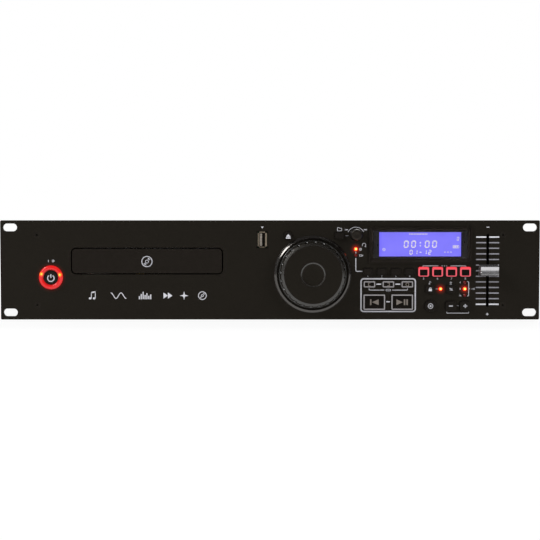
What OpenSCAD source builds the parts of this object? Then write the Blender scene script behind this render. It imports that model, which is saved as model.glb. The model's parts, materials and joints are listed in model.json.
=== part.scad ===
// Rack-mount disc player with a tray loader, jog wheel, key field and pitch fader
// Frame: X to the right, Y to the rear, Z up, origin in the middle of the panel's rear face

/* [Front panel] */
// Width of the rack panel from ear to ear
panel_w = 482.6; // [480:0.1:486]
// Height of the rack panel, two rack units
panel_h = 88.9; // [87:0.1:90]
// Thickness of the panel plate
panel_t = 3; // [2.5:0.1:4]
// Corner radius of the panel
panel_corner_r = 1.2; // [0.5:0.1:2.5]
// Distance between the left and right ear slots
ear_slot_span = 465.1; // [462:0.1:466]
// Distance between the lower and upper ear slots
ear_slot_rise = 76.2; // [73:0.1:77]
// Length of an ear slot
ear_slot_l = 12.7; // [9:0.1:13]
// Width of an ear slot
ear_slot_w = 6.9; // [6:0.1:8]
// Distance between the left and right panel screws
panel_screw_span = 417.2; // [410:0.1:418]
// Distance between the lower and upper panel screws
panel_screw_rise = 63; // [56:0.5:68]

/* [Case] */
// Outer width of the case behind the panel
case_w = 432; // [430:0.5:440]
// Outer height of the case
case_h = 83.5; // [82:0.5:85]
// Depth of the case behind the panel
case_d = 240; // [232:1:260]
// Sheet metal thickness
sheet_t = 1.2; // [1:0.1:1.5]
// Depth of the cover's folded lips
cover_lip = 14; // [12:0.5:18]
// Diameter of a rubber foot
foot_d = 15; // [12:0.5:20]
// Height of a rubber foot
foot_h = 2.8; // [2.4:0.1:4]
// Number of cooling slots in a group
vent_count = 14; // [8:1:16]

/* [Disc tray] */
// Middle of the tray door, left to right
tray_x = -110.1; // [-112:0.1:-108]
// Middle of the tray door, height
tray_z = 8; // [7:0.1:8.5]
// Width of the tray door
door_w = 134; // [132:0.1:136]
// Height of the tray door
door_h = 21.8; // [20:0.1:24]
// Thickness of the tray door
door_t = 4; // [3.6:0.1:5]
// Corner radius of the tray door
door_r = 3.4; // [2:0.1:4.5]
// Gap all round the tray door
door_gap = 1.1; // [0.6:0.1:1.5]
// Width of the sliding tray
tray_w = 128; // [126:0.5:129]
// Diameter of the disc recess
recess_d = 121; // [120.5:0.1:121.5]
// Depth of the disc recess
recess_depth = 4.7; // [4.4:0.1:5]
// Travel of the tray
tray_travel = 135; // [130:1:138]

/* [Loading drive] */
// Teeth of the pinion that drives the tray
pinion_teeth = 18; // [18:1:20]
// Tooth module of rack and pinion
gear_module = 1; // [0.9:0.05:1.05]
// Diameter of the large belt pulley
pulley_d = 26; // [22:0.5:27]
// Diameter of the motor's belt pulley
motor_pulley_d = 8; // [7:0.5:10]
// Diameter of the spindle hub's disc seat
hub_d = 30; // [26:0.5:32]
// Diameter of the guide rods of the pickup
rod_d = 3; // [2.5:0.1:3.5]

/* [Jog wheel] */
// Middle of the jog wheel, left to right
jog_x = 38.2; // [37:0.1:39]
// Middle of the jog wheel, height
jog_z = -3.8; // [-5:0.1:-3]
// Outer diameter of the jog bezel
jog_bezel_d = 69.4; // [67:0.1:70]
// Width of the jog bezel's band
jog_bezel_band = 2.85; // [2:0.05:3.5]
// Height of the jog bezel
jog_bezel_h = 2.4; // [2:0.1:5]
// Diameter of the wheel at its foot
jog_wheel_d = 58.5; // [55:0.1:60]
// Diameter of the wheel's face
jog_face_d = 51.5; // [48:0.1:53]
// Height of the wheel's face above the panel
jog_h = 13; // [11:0.1:16]
// Notches round the wheel
jog_notches = 24; // [16:1:30]
// Diameter of the dish in the wheel's face
jog_dish_d = 21.8; // [18:0.1:24]
// Diameter of the wheel's shaft
jog_shaft_d = 6; // [5:0.1:7]

/* [Track selector] */
// Middle of the selector, left to right
track_x = 76.8; // [76:0.1:78]
// Middle of the selector, height
track_z = 31.7; // [30.5:0.1:32]
// Diameter of the knob at its foot
knob_base_d = 11.7; // [11:0.1:12.5]
// Diameter of the knob at its tip
knob_tip_d = 9.6; // [9:0.1:10.5]
// Height of the knob above the panel
knob_h = 14; // [11:0.1:16]
// Push travel of the knob
knob_push = 0.5; // [0.3:0.1:0.8]

/* [Display] */
// Middle of the display, left to right
display_x = 134.7; // [134:0.1:136]
// Middle of the display, height
display_z = 22.3; // [21.5:0.1:23]
// Outer width of the display frame
frame_w = 92.6; // [90:0.1:94]
// Outer height of the display frame
frame_h = 32.6; // [30:0.1:33.5]
// Width of the lit display area
lcd_w = 73.7; // [68:0.1:78]
// Height of the lit display area
lcd_h = 21.8; // [18:0.1:23]

/* [Pitch fader] */
// Middle of the fader, left to right
fader_x = 194.9; // [194:0.1:196]
// Middle of the fader, height
fader_z = -0.3; // [-1:0.1:1]
// Full travel of the fader
fader_travel = 60; // [50:1:60]
// Width of the fader slot
fader_slot_w = 2.5; // [2.2:0.1:3]
// Width of the fader cap
cap_w = 17; // [14:0.1:18]
// Height of the fader cap at its front
cap_h = 8; // [7:0.1:10]
// How far the fader cap stands out of the panel
cap_l = 12.5; // [10:0.1:14]

/* [Power key and USB socket] */
// Middle of the power key, left to right
power_x = -196.1; // [-197:0.1:-195]
// Middle of the power key, height
power_z = -6.6; // [-8:0.1:-5]
// Outer diameter of the power light ring
power_ring_d = 21.4; // [19:0.1:23]
// Diameter of the power key
power_key_d = 12.4; // [11:0.1:13]
// Middle of the USB socket, left to right
usb_x = -6.9; // [-8:0.1:-6]
// Middle of the USB socket, height
usb_z = 27.1; // [26:0.1:28]

/* [Keys] */
// How far the keys stand out of the panel
key_proud = 2; // [1:0.1:3]
// Gap between a key and its hole
key_gap = 0.3; // [0.2:0.05:0.5]
// Travel of a key
key_travel = 0.8; // [0.5:0.1:1]
// Width of the lip that holds a key behind the panel
key_lip = 0.9; // [0.7:0.1:1]
// Middle of the eject key, left to right
eject_x = 16.3; // [15:0.1:17]
// Middle of the eject key, height
eject_z = 30.7; // [29.5:0.1:32]
// Diameter of the eject key
eject_d = 7.5; // [6.5:0.1:8.5]
// Middle of the folder key, left to right
folder_x = 62.2; // [61:0.1:63]
// Middle of the folder key, height
folder_z = 30.8; // [29.5:0.1:32]
// Middle of the first key in the long row
row_x = 87.65; // [87:0.05:88]
// Height of the long row of keys
row_z = -1.5; // [-2:0.1:-1]
// Spacing of the keys in the long row
row_pitch = 12.47; // [12.3:0.01:12.6]
// Width of a plain key in the row
row_w = 8.2; // [7:0.1:9]
// Height of a plain key in the row
row_h = 5.7; // [5:0.1:6.5]
// Width of an effect key with its lit rim
effect_w = 9.5; // [8.5:0.1:9.8]
// Height of an effect key with its lit rim
effect_h = 8.5; // [7:0.1:8.6]
// Middle of the first loop key
loop_x = 89; // [88.5:0.1:89.5]
// Height of the loop keys
loop_z = -12.8; // [-13:0.1:-12.5]
// Spacing of the loop keys
loop_pitch = 16.95; // [16:0.05:17.5]
// Width of a loop key
loop_w = 10.8; // [9:0.1:12]
// Height of a loop key
loop_h = 6; // [5:0.1:6.4]
// Middle of the cue key
cue_x = 93.4; // [92:0.1:94]
// Height of the cue and play keys
cue_z = -28.8; // [-29.5:0.1:-28.4]
// Distance from the cue key to the play key
cue_pitch = 25; // [24.5:0.1:26]
// Width of the cue and play keys
cue_w = 19.9; // [17:0.1:21]
// Height of the cue and play keys
cue_h = 14.3; // [12:0.1:15]
// Middle of the key-lock key
lock_x = 143.4; // [142.5:0.1:144]
// Height of the key-lock and range keys
lock_z = -17.2; // [-18:0.1:-17]
// Distance from the key-lock key to the range key
lock_pitch = 18.6; // [18:0.1:19]
// Width of the key-lock and range keys
lock_w = 8.4; // [7.5:0.1:9]
// Height of the key-lock and range keys
lock_h = 6.9; // [6:0.1:7.5]
// Middle of the tap key, left to right
tap_x = 143.7; // [143:0.1:145]
// Height of the tap key and the bend keys
tap_z = -32.2; // [-32.8:0.1:-31.6]
// Diameter of the tap key
tap_d = 9.9; // [8:0.1:10.5]
// Middle of the lower bend key
bend_x = 161.9; // [161:0.1:162.5]
// Distance between the two bend keys
bend_pitch = 12.9; // [12.8:0.1:13.5]
// Width of a bend key
bend_w = 9.5; // [8.5:0.1:9.8]
// Height of a bend key
bend_h = 8.2; // [7:0.1:8.5]

/* [Indicators] */
// Diameter of an indicator LED
led_d = 3; // [2.4:0.1:3.2]
// Height of the lit source LED
source_led_z = 18.8; // [18:0.1:19.5]
// Spacing of the two source LEDs
source_led_pitch = 5.8; // [5.2:0.1:6.2]
// Middle of the key-lock LED
lock_led_x = 152.8; // [152:0.1:153.5]
// Middle of the range LEDs
range_led_x = 174.5; // [173:0.1:176]
// Spacing of the range LEDs
range_led_pitch = 5.75; // [5.2:0.05:6]

/* [Hidden] */
$fn = 64;
fit_gap = 0.05;
screw_d = 3;
screw_hole_d = 3.3;
base_w = case_w - 2 * sheet_t;
base_in = base_w / 2 - sheet_t;
floor_z = -case_h / 2 + sheet_t;
lid_z = case_h / 2 - sheet_t;
side_screw_z = case_h / 2 - cover_lip / 2;
side_screw_y = [30, case_d / 2, case_d - 30];
rear_screw_x = [-150, 0, 150];

board_y = 12;
board_t = 1.6;
board_x0 = -17;
board_x1 = 212;
switch_y = board_y - 4.7;
seat_y = 0.1;
lip_t = 1.2;
plunger_d = 3;
tip_y = switch_y - key_travel - 0.1;
stud_d = 6;
studs = [[-12, -34], [-12, 8], [72, -36], [135, 0.5 - 37], [184, 36.5], [184, -36.5], [72, 8]];
power_studs = [[-188, 22], [-188, -34]];

tray_front = 0.4;
tray_held = 33;
tray_top = tray_z + 4;
tray_bottom = tray_top - 9;
tray_floor = tray_top - recess_depth;
spindle_y = tray_front + 6 + recess_d / 2;
tray_rear = tray_front + tray_travel + tray_held;
slot_half = hub_d / 2 + 5;
channel_half = 24;
bar_y = tray_rear - 12;
guide_half = tray_w / 2 + 0.5;
wall_t = 2.5;
frame_y0 = 3;
frame_y1 = tray_rear + 6;
frame_top = tray_top + 4;
frame_bottom = tray_bottom - 15;
deck_z = tray_bottom - 12;
bridge_z = frame_top;

pitch_r = gear_module * pinion_teeth / 2;
tooth_pitch = PI * gear_module;
tooth_slack = 0.12;
rack_x = tray_x - tray_w / 2 + 7.4;
pinion_x = rack_x + pitch_r;
pinion_y = 18;
pinion_z0 = tray_bottom - 4.6;
pinion_z1 = tray_bottom - 0.4;
motor_x = pinion_x + 40;
belt_s = 1.6;

plate_z1 = tray_bottom - 6;
plate_t = 2;
hinge_lead = 91;
hinge_y = spindle_y + hinge_lead;
hinge_z = plate_z1 - plate_t / 2;
trunnion_d = 5;
trunnion_x = 37.25;
trunnion_l = 15.5;
hinge_ear_x = 43.25;
hinge_ear_t = 3.5;
hinge_bore_l = 120;
plate_half = 38;
plate_lead = 26;
rod_x = 17;
rod_z = plate_z1 + 4;
pickup_park = 24;
pickup_y = spindle_y + pickup_park;
hub_seat = tray_floor + 1.4;
boss_r = 7.45;
rod_start = 5;
rod_end = 79;
rod_mid = (rod_start + rod_end) / 2;
post_inset = 2;
post_t = 3;
post_w = 8;
post_h = 7;
sled_window_w = 25;
sled_window_l = 62;
sled_w = 42;
sled_l = 26;
sled_h = 6;
turret_w = 20;
turret_h = 4.8;
bridge_w = 38;
bridge_h = 4;
bridge_t = 1.2;
clamper_hole_d = 25;

board_z = floor_z + 6;
pad_inset = 5;
main_w = 112;
main_l = 156;
main_x = 27;
main_y = case_d - 98;
chips = [[-7, -2, 24, 24], [27, -22, 14, 22], [-33, 38, 12, 18], [23, 33, 16, 16]];
supply_w = 108;
supply_l = 94;
supply_x = 153;
supply_y = case_d - 56;
core_w = 48;
core_h = 40;
cap_d = 14;
sink_w = 26;
sink_l = 18;
vent_l = 46;

mains_x = supply_x + 12;
mains_z = -8;
flange_w = 48;
flange_h = 23;
flange_t = 2.6;
inlet_w = 27;
inlet_h = 20;
inlet_l = 20;
inlet_screw = 20;
jack_x = [10, 28, 56];
jack_z = -10;
jack_l = 9.5;
jack_r = 4.15;
contact_r = 1.65;

frame_rim = 1.4;
display_lift = 0.6;
frame_proud = 1.4;
lens_t = 0.8;
lens_y = -panel_t - 0.4;
skirt_t = 1.2;
skirt_gap = 1.45;
notch_d = 3;
rotor_y = 6.1;
shaft_end = 8.8;
code_y = 7.5;
code_t = 0.8;
code_d = 35;
code_slots = 24;
code_slot = 2;
code_slot_r = 15.5;

cap_base_y = -panel_t - 1.2;
housing_y = 4;
housing_w = 12;
housing_over = 18;
carriage_w = 8.4;
carriage_l = 10;

usb_w = 5.9;
usb_h = 13.3;
usb_wall = 0.4;
usb_lip_x = 4.1;
usb_lip_z = 7.2;

function row_at(i) = row_x + row_pitch * i;

// Angle of an involute at radius r for a base circle of radius rb
function inv_angle(r, rb) = sqrt(r * r / (rb * rb) - 1) * 180 / PI - acos(rb / r);
// Half the angle of a tooth at radius r
function tooth_half(r, rp, rb, n) =
  90 / n - tooth_slack / 2 / rp * 180 / PI + inv_angle(rp, rb) - inv_angle(r, rb);

// Draws in the X-Z plane and fills from y0 to y1
module along_y(y0, y1) {
  translate([0, y1, 0]) rotate([90, 0, 0]) linear_extrude(y1 - y0) children();
}

// Draws in the Y-Z plane and fills from x0 to x1
module along_x(x0, x1) {
  translate([x0, 0, 0]) rotate([90, 0, 90]) linear_extrude(x1 - x0) children();
}

// Draws in the X-Y plane and fills from z0 to z1
module along_z(z0, z1) {
  translate([0, 0, z0]) linear_extrude(z1 - z0) children();
}

// Turns a profile of radius and distance in front of the panel's rear face
module turned(x, z) {
  translate([x, 0, z]) rotate([90, 0, 0]) rotate_extrude() children();
}

module rounded_rect(w, h, r) {
  square([w - 2 * r, h], center = true);
  square([w, h - 2 * r], center = true);
  for (sx = [-1, 1], sy = [-1, 1]) translate([sx * (w / 2 - r), sy * (h / 2 - r)]) circle(r);
}

// A rectangle with small radii above and large radii below
module shield(w, h, rt, rb) {
  rounded_rect(w, h, rb);
  translate([0, h / 4]) rounded_rect(w, h / 2, rt);
}

module obround(l, w) {
  square([l - w, w], center = true);
  for (s = [-1, 1]) translate([s * (l - w) / 2, 0]) circle(d = w);
}

module rect_key(x, z, w, h, r, proud = key_proud) {
  translate([x, 0, z]) {
    along_y(-panel_t - proud, seat_y + lip_t) rounded_rect(w, h, r);
    along_y(seat_y, seat_y + lip_t) rounded_rect(w + 2 * key_lip, h + 2 * key_lip, r + key_lip);
    along_y(seat_y, tip_y) circle(d = plunger_d);
  }
}

module round_key(x, z, d) {
  translate([x, 0, z]) {
    along_y(-panel_t - key_proud, seat_y + lip_t) circle(d = d);
    along_y(seat_y, seat_y + lip_t) circle(d = d + 2 * key_lip);
    along_y(seat_y, tip_y) circle(d = plunger_d);
  }
}

module shield_key(x, z) {
  translate([x, 0, z]) {
    along_y(-panel_t - key_proud, seat_y + lip_t) shield(lock_w, lock_h, 0.9, 2.6);
    along_y(seat_y, seat_y + lip_t)
      shield(lock_w + 2 * key_lip, lock_h + 2 * key_lip, 0.9 + key_lip, 2.6 + key_lip);
    along_y(seat_y, tip_y) circle(d = plunger_d);
  }
}

module rect_hole(x, z, w, h, r) {
  translate([x, z]) rounded_rect(w + 2 * key_gap, h + 2 * key_gap, r + key_gap);
}

module round_hole(x, z, d) {
  translate([x, z]) circle(d = d + 2 * key_gap);
}

function led_places() = [[track_x, source_led_z], [track_x, source_led_z - source_led_pitch],
  [lock_led_x, lock_z + 0.3],
  for (i = [-1 : 1]) [range_led_x, lock_z + 0.3 + range_led_pitch * i]];

function switch_places() = concat([for (i = [0 : 7]) [row_at(i), row_z]],
  [for (i = [0 : 2]) [loop_x + loop_pitch * i, loop_z]],
  [for (i = [0 : 1]) [cue_x + cue_pitch * i, cue_z]],
  [for (i = [0 : 1]) [lock_x + lock_pitch * i, lock_z]],
  [for (i = [0 : 1]) [bend_x + bend_pitch * i, tap_z]],
  [[tap_x, tap_z], [eject_x, eject_z], [folder_x, folder_z]]);

module key_holes() {
  round_hole(eject_x, eject_z, eject_d);
  rect_hole(folder_x, folder_z, row_w, row_h, 0.9);
  for (i = [0 : 3]) rect_hole(row_at(i), row_z, row_w, row_h, 0.9);
  for (i = [4 : 7]) rect_hole(row_at(i), row_z, effect_w, effect_h, 1.4);
  for (i = [0 : 2]) rect_hole(loop_x + loop_pitch * i, loop_z, loop_w, loop_h, 0.9);
  for (i = [0 : 1]) rect_hole(cue_x + cue_pitch * i, cue_z, cue_w, cue_h, 1.5);
  for (i = [0 : 1]) translate([lock_x + lock_pitch * i, lock_z])
    shield(lock_w + 2 * key_gap, lock_h + 2 * key_gap, 0.9 + key_gap, 2.6 + key_gap);
  round_hole(tap_x, tap_z, tap_d);
  for (i = [0 : 1]) rect_hole(bend_x + bend_pitch * i, tap_z, bend_w, bend_h, 2);
}

module panel_outline() {
  difference() {
    rounded_rect(panel_w, panel_h, panel_corner_r);
    for (sx = [-1, 1], sz = [-1, 1]) {
      translate([sx * ear_slot_span / 2, sz * ear_slot_rise / 2]) obround(ear_slot_l, ear_slot_w);
      translate([sx * panel_screw_span / 2, sz * panel_screw_rise / 2]) circle(d = screw_hole_d);
    }
    translate([tray_x, tray_z]) rounded_rect(door_w + 2 * door_gap, door_h + 2 * door_gap, door_r + door_gap);
    translate([power_x, power_z]) circle(d = power_ring_d - 2.4);
    translate([usb_x, usb_z]) rounded_rect(2 * usb_lip_x + 1.2, 2 * usb_lip_z + 0.6, 0.6);
    translate([jog_x, jog_z]) circle(d = jog_shaft_d + 4.2);
    translate([track_x, track_z]) circle(d = 7.4);
    translate([display_x, display_z]) rounded_rect(frame_w - 4.2, frame_h - 4.2, 0.6);
    translate([fader_x, fader_z]) rotate(90) obround(fader_travel + 5.4, fader_slot_w);
    for (p = led_places()) translate(p) circle(d = led_d + 0.3);
    key_holes();
  }
}

module front_panel() {
  color([0.11, 0.105, 0.1]) {
    difference() {
      along_y(-panel_t, 0) panel_outline();
      for (sx = [-1, 1], sz = [-1, 1]) turned(sx * panel_screw_span / 2, sz * panel_screw_rise / 2)
        polygon([[0, panel_t - 1.5], [screw_hole_d / 2 - 0.1, panel_t - 1.5], [3.2, panel_t + 0.15],
          [0, panel_t + 0.15]]);
    }
    for (p = studs) translate([p[0], 0, p[1]]) along_y(-0.5, board_y) circle(d = stud_d);
    for (p = power_studs) translate([p[0], 0, p[1]]) along_y(-0.5, board_y) circle(d = stud_d);
  }
}

module base_section() {
  difference() {
    translate([-base_w / 2, -case_h / 2]) square([base_w, case_h - sheet_t]);
    translate([-base_in, floor_z]) square([2 * base_in, case_h]);
  }
}

module inlet_outline(w, h, c) {
  polygon([[-w / 2, -h / 2], [w / 2, -h / 2], [w / 2, h / 2 - c], [w / 2 - c, h / 2], [c - w / 2, h / 2],
    [-w / 2, h / 2 - c]]);
}

module standoff(x, y, z) {
  translate([x, y, 0]) along_z(floor_z - 0.3, z) circle(d = 7);
}

function loader_feet() = [for (sx = [-1, 1], y = [14, tray_rear - 6]) [tray_x + sx * (guide_half + 1), y]];
function pads(x, y, w, l) = [for (sx = [-1, 1], sy = [-1, 1])
  [x + sx * (w / 2 - pad_inset), y + sy * (l / 2 - pad_inset)]];

module chassis_base() {
  color([0.3, 0.31, 0.33]) difference() {
    union() {
      along_y(0, case_d) base_section();
      along_y(case_d - sheet_t, case_d) translate([-base_in - 0.1, floor_z - 0.1])
        square([2 * base_in + 0.2, lid_z - floor_z + 0.1]);
      for (s = [-1, 1]) along_y(0, sheet_t) translate([s * (base_in - 6.9), (floor_z + lid_z) / 2 - 0.1])
        square([14, lid_z - floor_z + 0.2], center = true);
      for (p = pads(main_x, main_y, main_w, main_l)) standoff(p[0], p[1], board_z);
      for (p = pads(supply_x, supply_y, supply_w, supply_l)) standoff(p[0], p[1], board_z);
    }
    for (sx = [-1, 1], sz = [-1, 1]) translate([sx * panel_screw_span / 2, 0, sz * panel_screw_rise / 2])
      along_y(-1, sheet_t + 1) circle(d = screw_hole_d);
    for (y = side_screw_y) along_x(-base_w, base_w) translate([y, side_screw_z]) circle(d = screw_hole_d);
    for (x = rear_screw_x) translate([x, 0, side_screw_z]) along_y(case_d - 3, case_d + 1)
      circle(d = screw_hole_d);
    for (s = [-1, 1]) translate([mains_x + s * inlet_screw, 0, mains_z]) along_y(case_d - 3, case_d + 1)
      circle(d = screw_hole_d);
    for (s = [0, 1]) along_x(s ? base_in - 1 : -base_w / 2 - 1, s ? base_w / 2 + 1 : 1 - base_in)
      for (i = [0 : 7]) translate([case_d - 40 - 9 * i, -10]) rotate(90) obround(30, 3);
    along_y(-1, sheet_t + 1) translate([power_x, power_z]) circle(d = power_ring_d + 2);
    along_y(case_d - 4, case_d + 1) translate([mains_x, mains_z])
      rounded_rect(inlet_w + 0.6, inlet_h + 0.6, 1);
    for (x = jack_x) translate([x, 0, jack_z]) along_y(case_d - 4, case_d + 1) circle(r = jack_r + 0.9);
  }
}

module top_cover() {
  color([0.16, 0.16, 0.17]) difference() {
    union() {
      along_y(0, case_d + sheet_t) difference() {
        translate([-case_w / 2, case_h / 2 - cover_lip]) square([case_w, cover_lip]);
        translate([-base_w / 2, 0]) square([base_w, lid_z]);
      }
      along_y(case_d, case_d + sheet_t) translate([-case_w / 2, case_h / 2 - cover_lip])
        square([case_w, cover_lip]);
    }
    for (y = side_screw_y) along_x(-case_w, case_w) translate([y, side_screw_z]) circle(d = screw_hole_d);
    for (x = rear_screw_x) translate([x, 0, side_screw_z]) along_y(case_d - 1, case_d + 3)
      circle(d = screw_hole_d);
    along_z(lid_z - 1, case_h / 2 + 1) for (i = [0 : vent_count - 1])
      translate([supply_x + 7 * (i - (vent_count - 1) / 2), supply_y]) rotate(90) obround(vent_l, 3);
  }
}

// A pan-head screw with a cross recess, head up
module pan_screw() {
  difference() {
    rotate_extrude() polygon([[0, -5], [screw_d / 2, -5], [screw_d / 2, 0], [2.9, 0], [2.9, 1.2], [2.2, 1.9],
      [0, 2.1]]);
    for (turn = [0, 90]) rotate(turn) along_z(0.9, 3) square([3.2, 0.8], center = true);
  }
}

// A countersunk screw with a hexagon socket, flush with the panel
module panel_screw(x, z) {
  difference() {
    turned(x, z) polygon([[0, -6], [screw_d / 2, -6], [screw_d / 2, panel_t - 1.5], [2.95, panel_t - 0.05],
      [0, panel_t - 0.05]]);
    translate([x, 0, z]) along_y(-panel_t - 1, -panel_t + 1.25) circle(d = 2.5, $fn = 6);
  }
}

module case_screws() {
  color([0.2, 0.2, 0.21]) {
    for (sx = [-1, 1], sz = [-1, 1]) panel_screw(sx * panel_screw_span / 2, sz * panel_screw_rise / 2);
    for (y = side_screw_y) {
      translate([case_w / 2, y, side_screw_z]) rotate([0, 90, 0]) pan_screw();
      translate([-case_w / 2, y, side_screw_z]) rotate([0, -90, 0]) pan_screw();
    }
    for (x = rear_screw_x) translate([x, case_d + sheet_t, side_screw_z]) rotate([-90, 0, 0]) pan_screw();
    for (s = [-1, 1]) translate([mains_x + s * inlet_screw, case_d + flange_t, mains_z]) rotate([-90, 0, 0])
      pan_screw();
  }
}

module rubber_feet() {
  color([0.05, 0.05, 0.05]) for (sx = [-1, 1], y = [24, case_d - 24])
    translate([sx * (case_w / 2 - 26), y, -case_h / 2]) mirror([0, 0, 1]) rotate_extrude()
      polygon([[0, 0], [foot_d / 2, 0], [foot_d / 2 - 0.8, foot_h], [0, foot_h]]);
}

module mains_inlet() {
  color([0.06, 0.06, 0.06]) {
    translate([mains_x, 0, mains_z]) {
      difference() {
        union() {
          along_y(case_d, case_d + flange_t) rounded_rect(flange_w, flange_h, 4);
          along_y(case_d - inlet_l, case_d + 1) rounded_rect(inlet_w, inlet_h, 0.8);
        }
        along_y(case_d - inlet_l + 2, case_d + 4) inlet_outline(inlet_w - 2.8, inlet_h - 3.6, 4);
        for (s = [-1, 1]) translate([s * inlet_screw, 0, 0]) along_y(case_d - 1, case_d + 4)
          circle(d = screw_hole_d);
      }
      for (p = [[-7, -2], [7, -2], [0, 2]]) translate([p[0], 0, p[1]])
        along_y(case_d - inlet_l + 1.5, case_d - 4) square([2, 4], center = true);
    }
  }
}

module audio_jacks() {
  rj = jack_r + 1.85;
  rn = jack_r + 0.75;
  color([0.75, 0.68, 0.4]) for (x = jack_x) translate([x, case_d, jack_z]) rotate([-90, 0, 0])
    rotate_extrude() polygon([[0, -9], [rj, -9], [rj, -sheet_t], [rn, -sheet_t], [rn, 0], [rj, 0], [rj, 1.2],
      [jack_r, 1.2], [jack_r, jack_l], [contact_r, jack_l], [contact_r, 1.5], [0, 1.5]]);
}

module power_supply() {
  color([0.2, 0.36, 0.2]) {
    along_z(board_z, board_z + board_t) translate([supply_x, supply_y]) rounded_rect(supply_w, supply_l, 2);
    translate([supply_x - 21, supply_y + 2, board_z + board_t]) {
      difference() {
        along_x(-core_w / 2, core_w / 2) translate([-13, 0]) square([26, core_h]);
        for (s = [-1, 1]) translate([s * core_w / 4, 0, core_h / 2]) along_y(-14, 14)
          square([core_w / 6, core_h - 16], center = true);
      }
      along_z(8.4, core_h - 8.4) difference() {
        rounded_rect(core_w / 2 + core_w / 6 - 0.4, 40, 2);
        square([core_w / 2 - core_w / 6 + 0.1, 26.1], center = true);
      }
    }
    for (p = [[23, -24], [23, 0], [41, -24]]) translate([supply_x + p[0], supply_y + p[1], 0])
      along_z(board_z + board_t - 0.1, board_z + 27) circle(d = cap_d);
    translate([supply_x + 37, supply_y + 22]) {
      along_z(board_z + board_t - 0.1, board_z + 26) for (i = [-4 : 4]) translate([i * sink_w / 9, 0])
        square([1.2, sink_l], center = true);
      along_z(board_z + board_t - 0.1, board_z + 5) square([sink_w, sink_l], center = true);
    }
  }
}

module main_board() {
  color([0.12, 0.35, 0.2]) {
    translate([main_x, main_y, 0]) {
      along_z(board_z, board_z + board_t) rounded_rect(main_w, main_l, 2);
      along_z(board_z, board_z + board_t + 2) {
        for (c = chips) translate([c[0], c[1]]) square([c[2], c[3]], center = true);
      }
      along_z(board_z, board_z + board_t + 7) {
        translate([0, 8 - main_l / 2]) square([40, 6], center = true);
        translate([7 - main_w / 2, -22]) square([6, 30], center = true);
        translate([main_w / 2 - 7, 8]) square([6, 24], center = true);
      }
      for (i = [-3 : 1]) translate([12 * i, main_l / 2 - 15, 0]) along_z(board_z, board_z + 12) circle(d = 8);
    }
  }
}

module tact_switch(x, z) {
  translate([x, 0, z]) {
    along_y(board_y - 3.5, board_y + 0.1) square([6, 6], center = true);
    along_y(switch_y, board_y) circle(d = 3.4);
  }
}

module control_board() {
  color([0.12, 0.35, 0.2]) {
    difference() {
      along_y(board_y, board_y + board_t) translate([(board_x0 + board_x1) / 2, 0])
        rounded_rect(board_x1 - board_x0, 2 * lid_z - 3, 2);
      for (p = studs) translate([p[0], 0, p[1]]) along_y(board_y - 1, board_y + 4) circle(d = 3);
    }
    for (p = switch_places()) tact_switch(p[0], p[1]);
    along_y(board_y, board_y + board_t) translate([power_x, power_z]) rounded_rect(30, 66, 2);
    tact_switch(power_x, power_z);
    difference() {
      translate([jog_x + code_d / 2 - 0.5, 0, jog_z]) along_y(5, board_y + 0.1) square([6, 10], center = true);
      translate([jog_x + code_d / 2 - 5.5, 0, jog_z]) along_y(code_y - 1, code_y + code_t + 1)
        square([12, 12], center = true);
    }
    along_y(board_y, board_y + board_t + 8) {
      translate([40, 30]) square([36, 6], center = true);
      translate([150, -20]) square([16, 16], center = true);
    }
  }
}

module display_frame() {
  color([0.05, 0.05, 0.05]) translate([display_x, 0, display_z]) difference() {
    union() {
      along_y(-panel_t - frame_proud, -panel_t) rounded_rect(frame_w, frame_h, 1.2);
      along_y(-panel_t - 0.1, 1) rounded_rect(frame_w - 4.6, frame_h - 4.6, 0.5);
    }
    translate([0, 0, display_lift]) {
      along_y(-panel_t - 3, lens_y) rounded_rect(frame_w - 2 * frame_rim, frame_h - 2 * frame_rim, 0.5);
      along_y(-panel_t - 1, 2) rounded_rect(frame_w - 8, frame_h - 8, 0.5);
    }
  }
}

module display_window() {
  color([0.08, 0.08, 0.1]) translate([display_x, 0, display_z + display_lift])
    along_y(lens_y - lens_t, lens_y)
      rounded_rect(frame_w - 2 * frame_rim - 0.2, frame_h - 2 * frame_rim - 0.2, 0.4);
}

module lcd_module() {
  color([0.5, 0.47, 1]) translate([display_x, 0, display_z + display_lift]) {
    difference() {
      along_y(1, board_y) rounded_rect(lcd_w + 10, lcd_h + 7, 0.5);
      along_y(0, 2.2) square([lcd_w + 2, lcd_h + 2], center = true);
    }
    along_y(1.1, 2.2) square([lcd_w, lcd_h], center = true);
  }
}

module usb_socket() {
  color([0.78, 0.78, 0.8]) translate([usb_x, 0, usb_z]) {
    difference() {
      union() {
        along_y(-panel_t + 0.5, board_y) rounded_rect(usb_w, usb_h, 0.5);
        along_z(-5.9, 5.9) for (s = [-1, 1]) polygon([[s * 2.6, -panel_t + 2], [s * usb_lip_x, -panel_t + 0.2],
          [s * usb_lip_x, -panel_t - 0.2], [s * 2.6, -panel_t + 0.5]]);
        along_x(-2.4, 2.4) for (s = [-1, 1]) polygon([[-panel_t + 2, s * 6.4], [-panel_t + 0.2, s * usb_lip_z],
          [-panel_t - 0.2, s * usb_lip_z], [-panel_t + 0.5, s * 6.4]]);
      }
      along_y(-panel_t - 1, 8.8) square([usb_w - 2 * usb_wall, usb_h - 2 * usb_wall], center = true);
    }
    translate([-1.2, 0, 0]) along_y(-panel_t + 2, 9.2) square([1.8, 11.1], center = true);
  }
}

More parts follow.
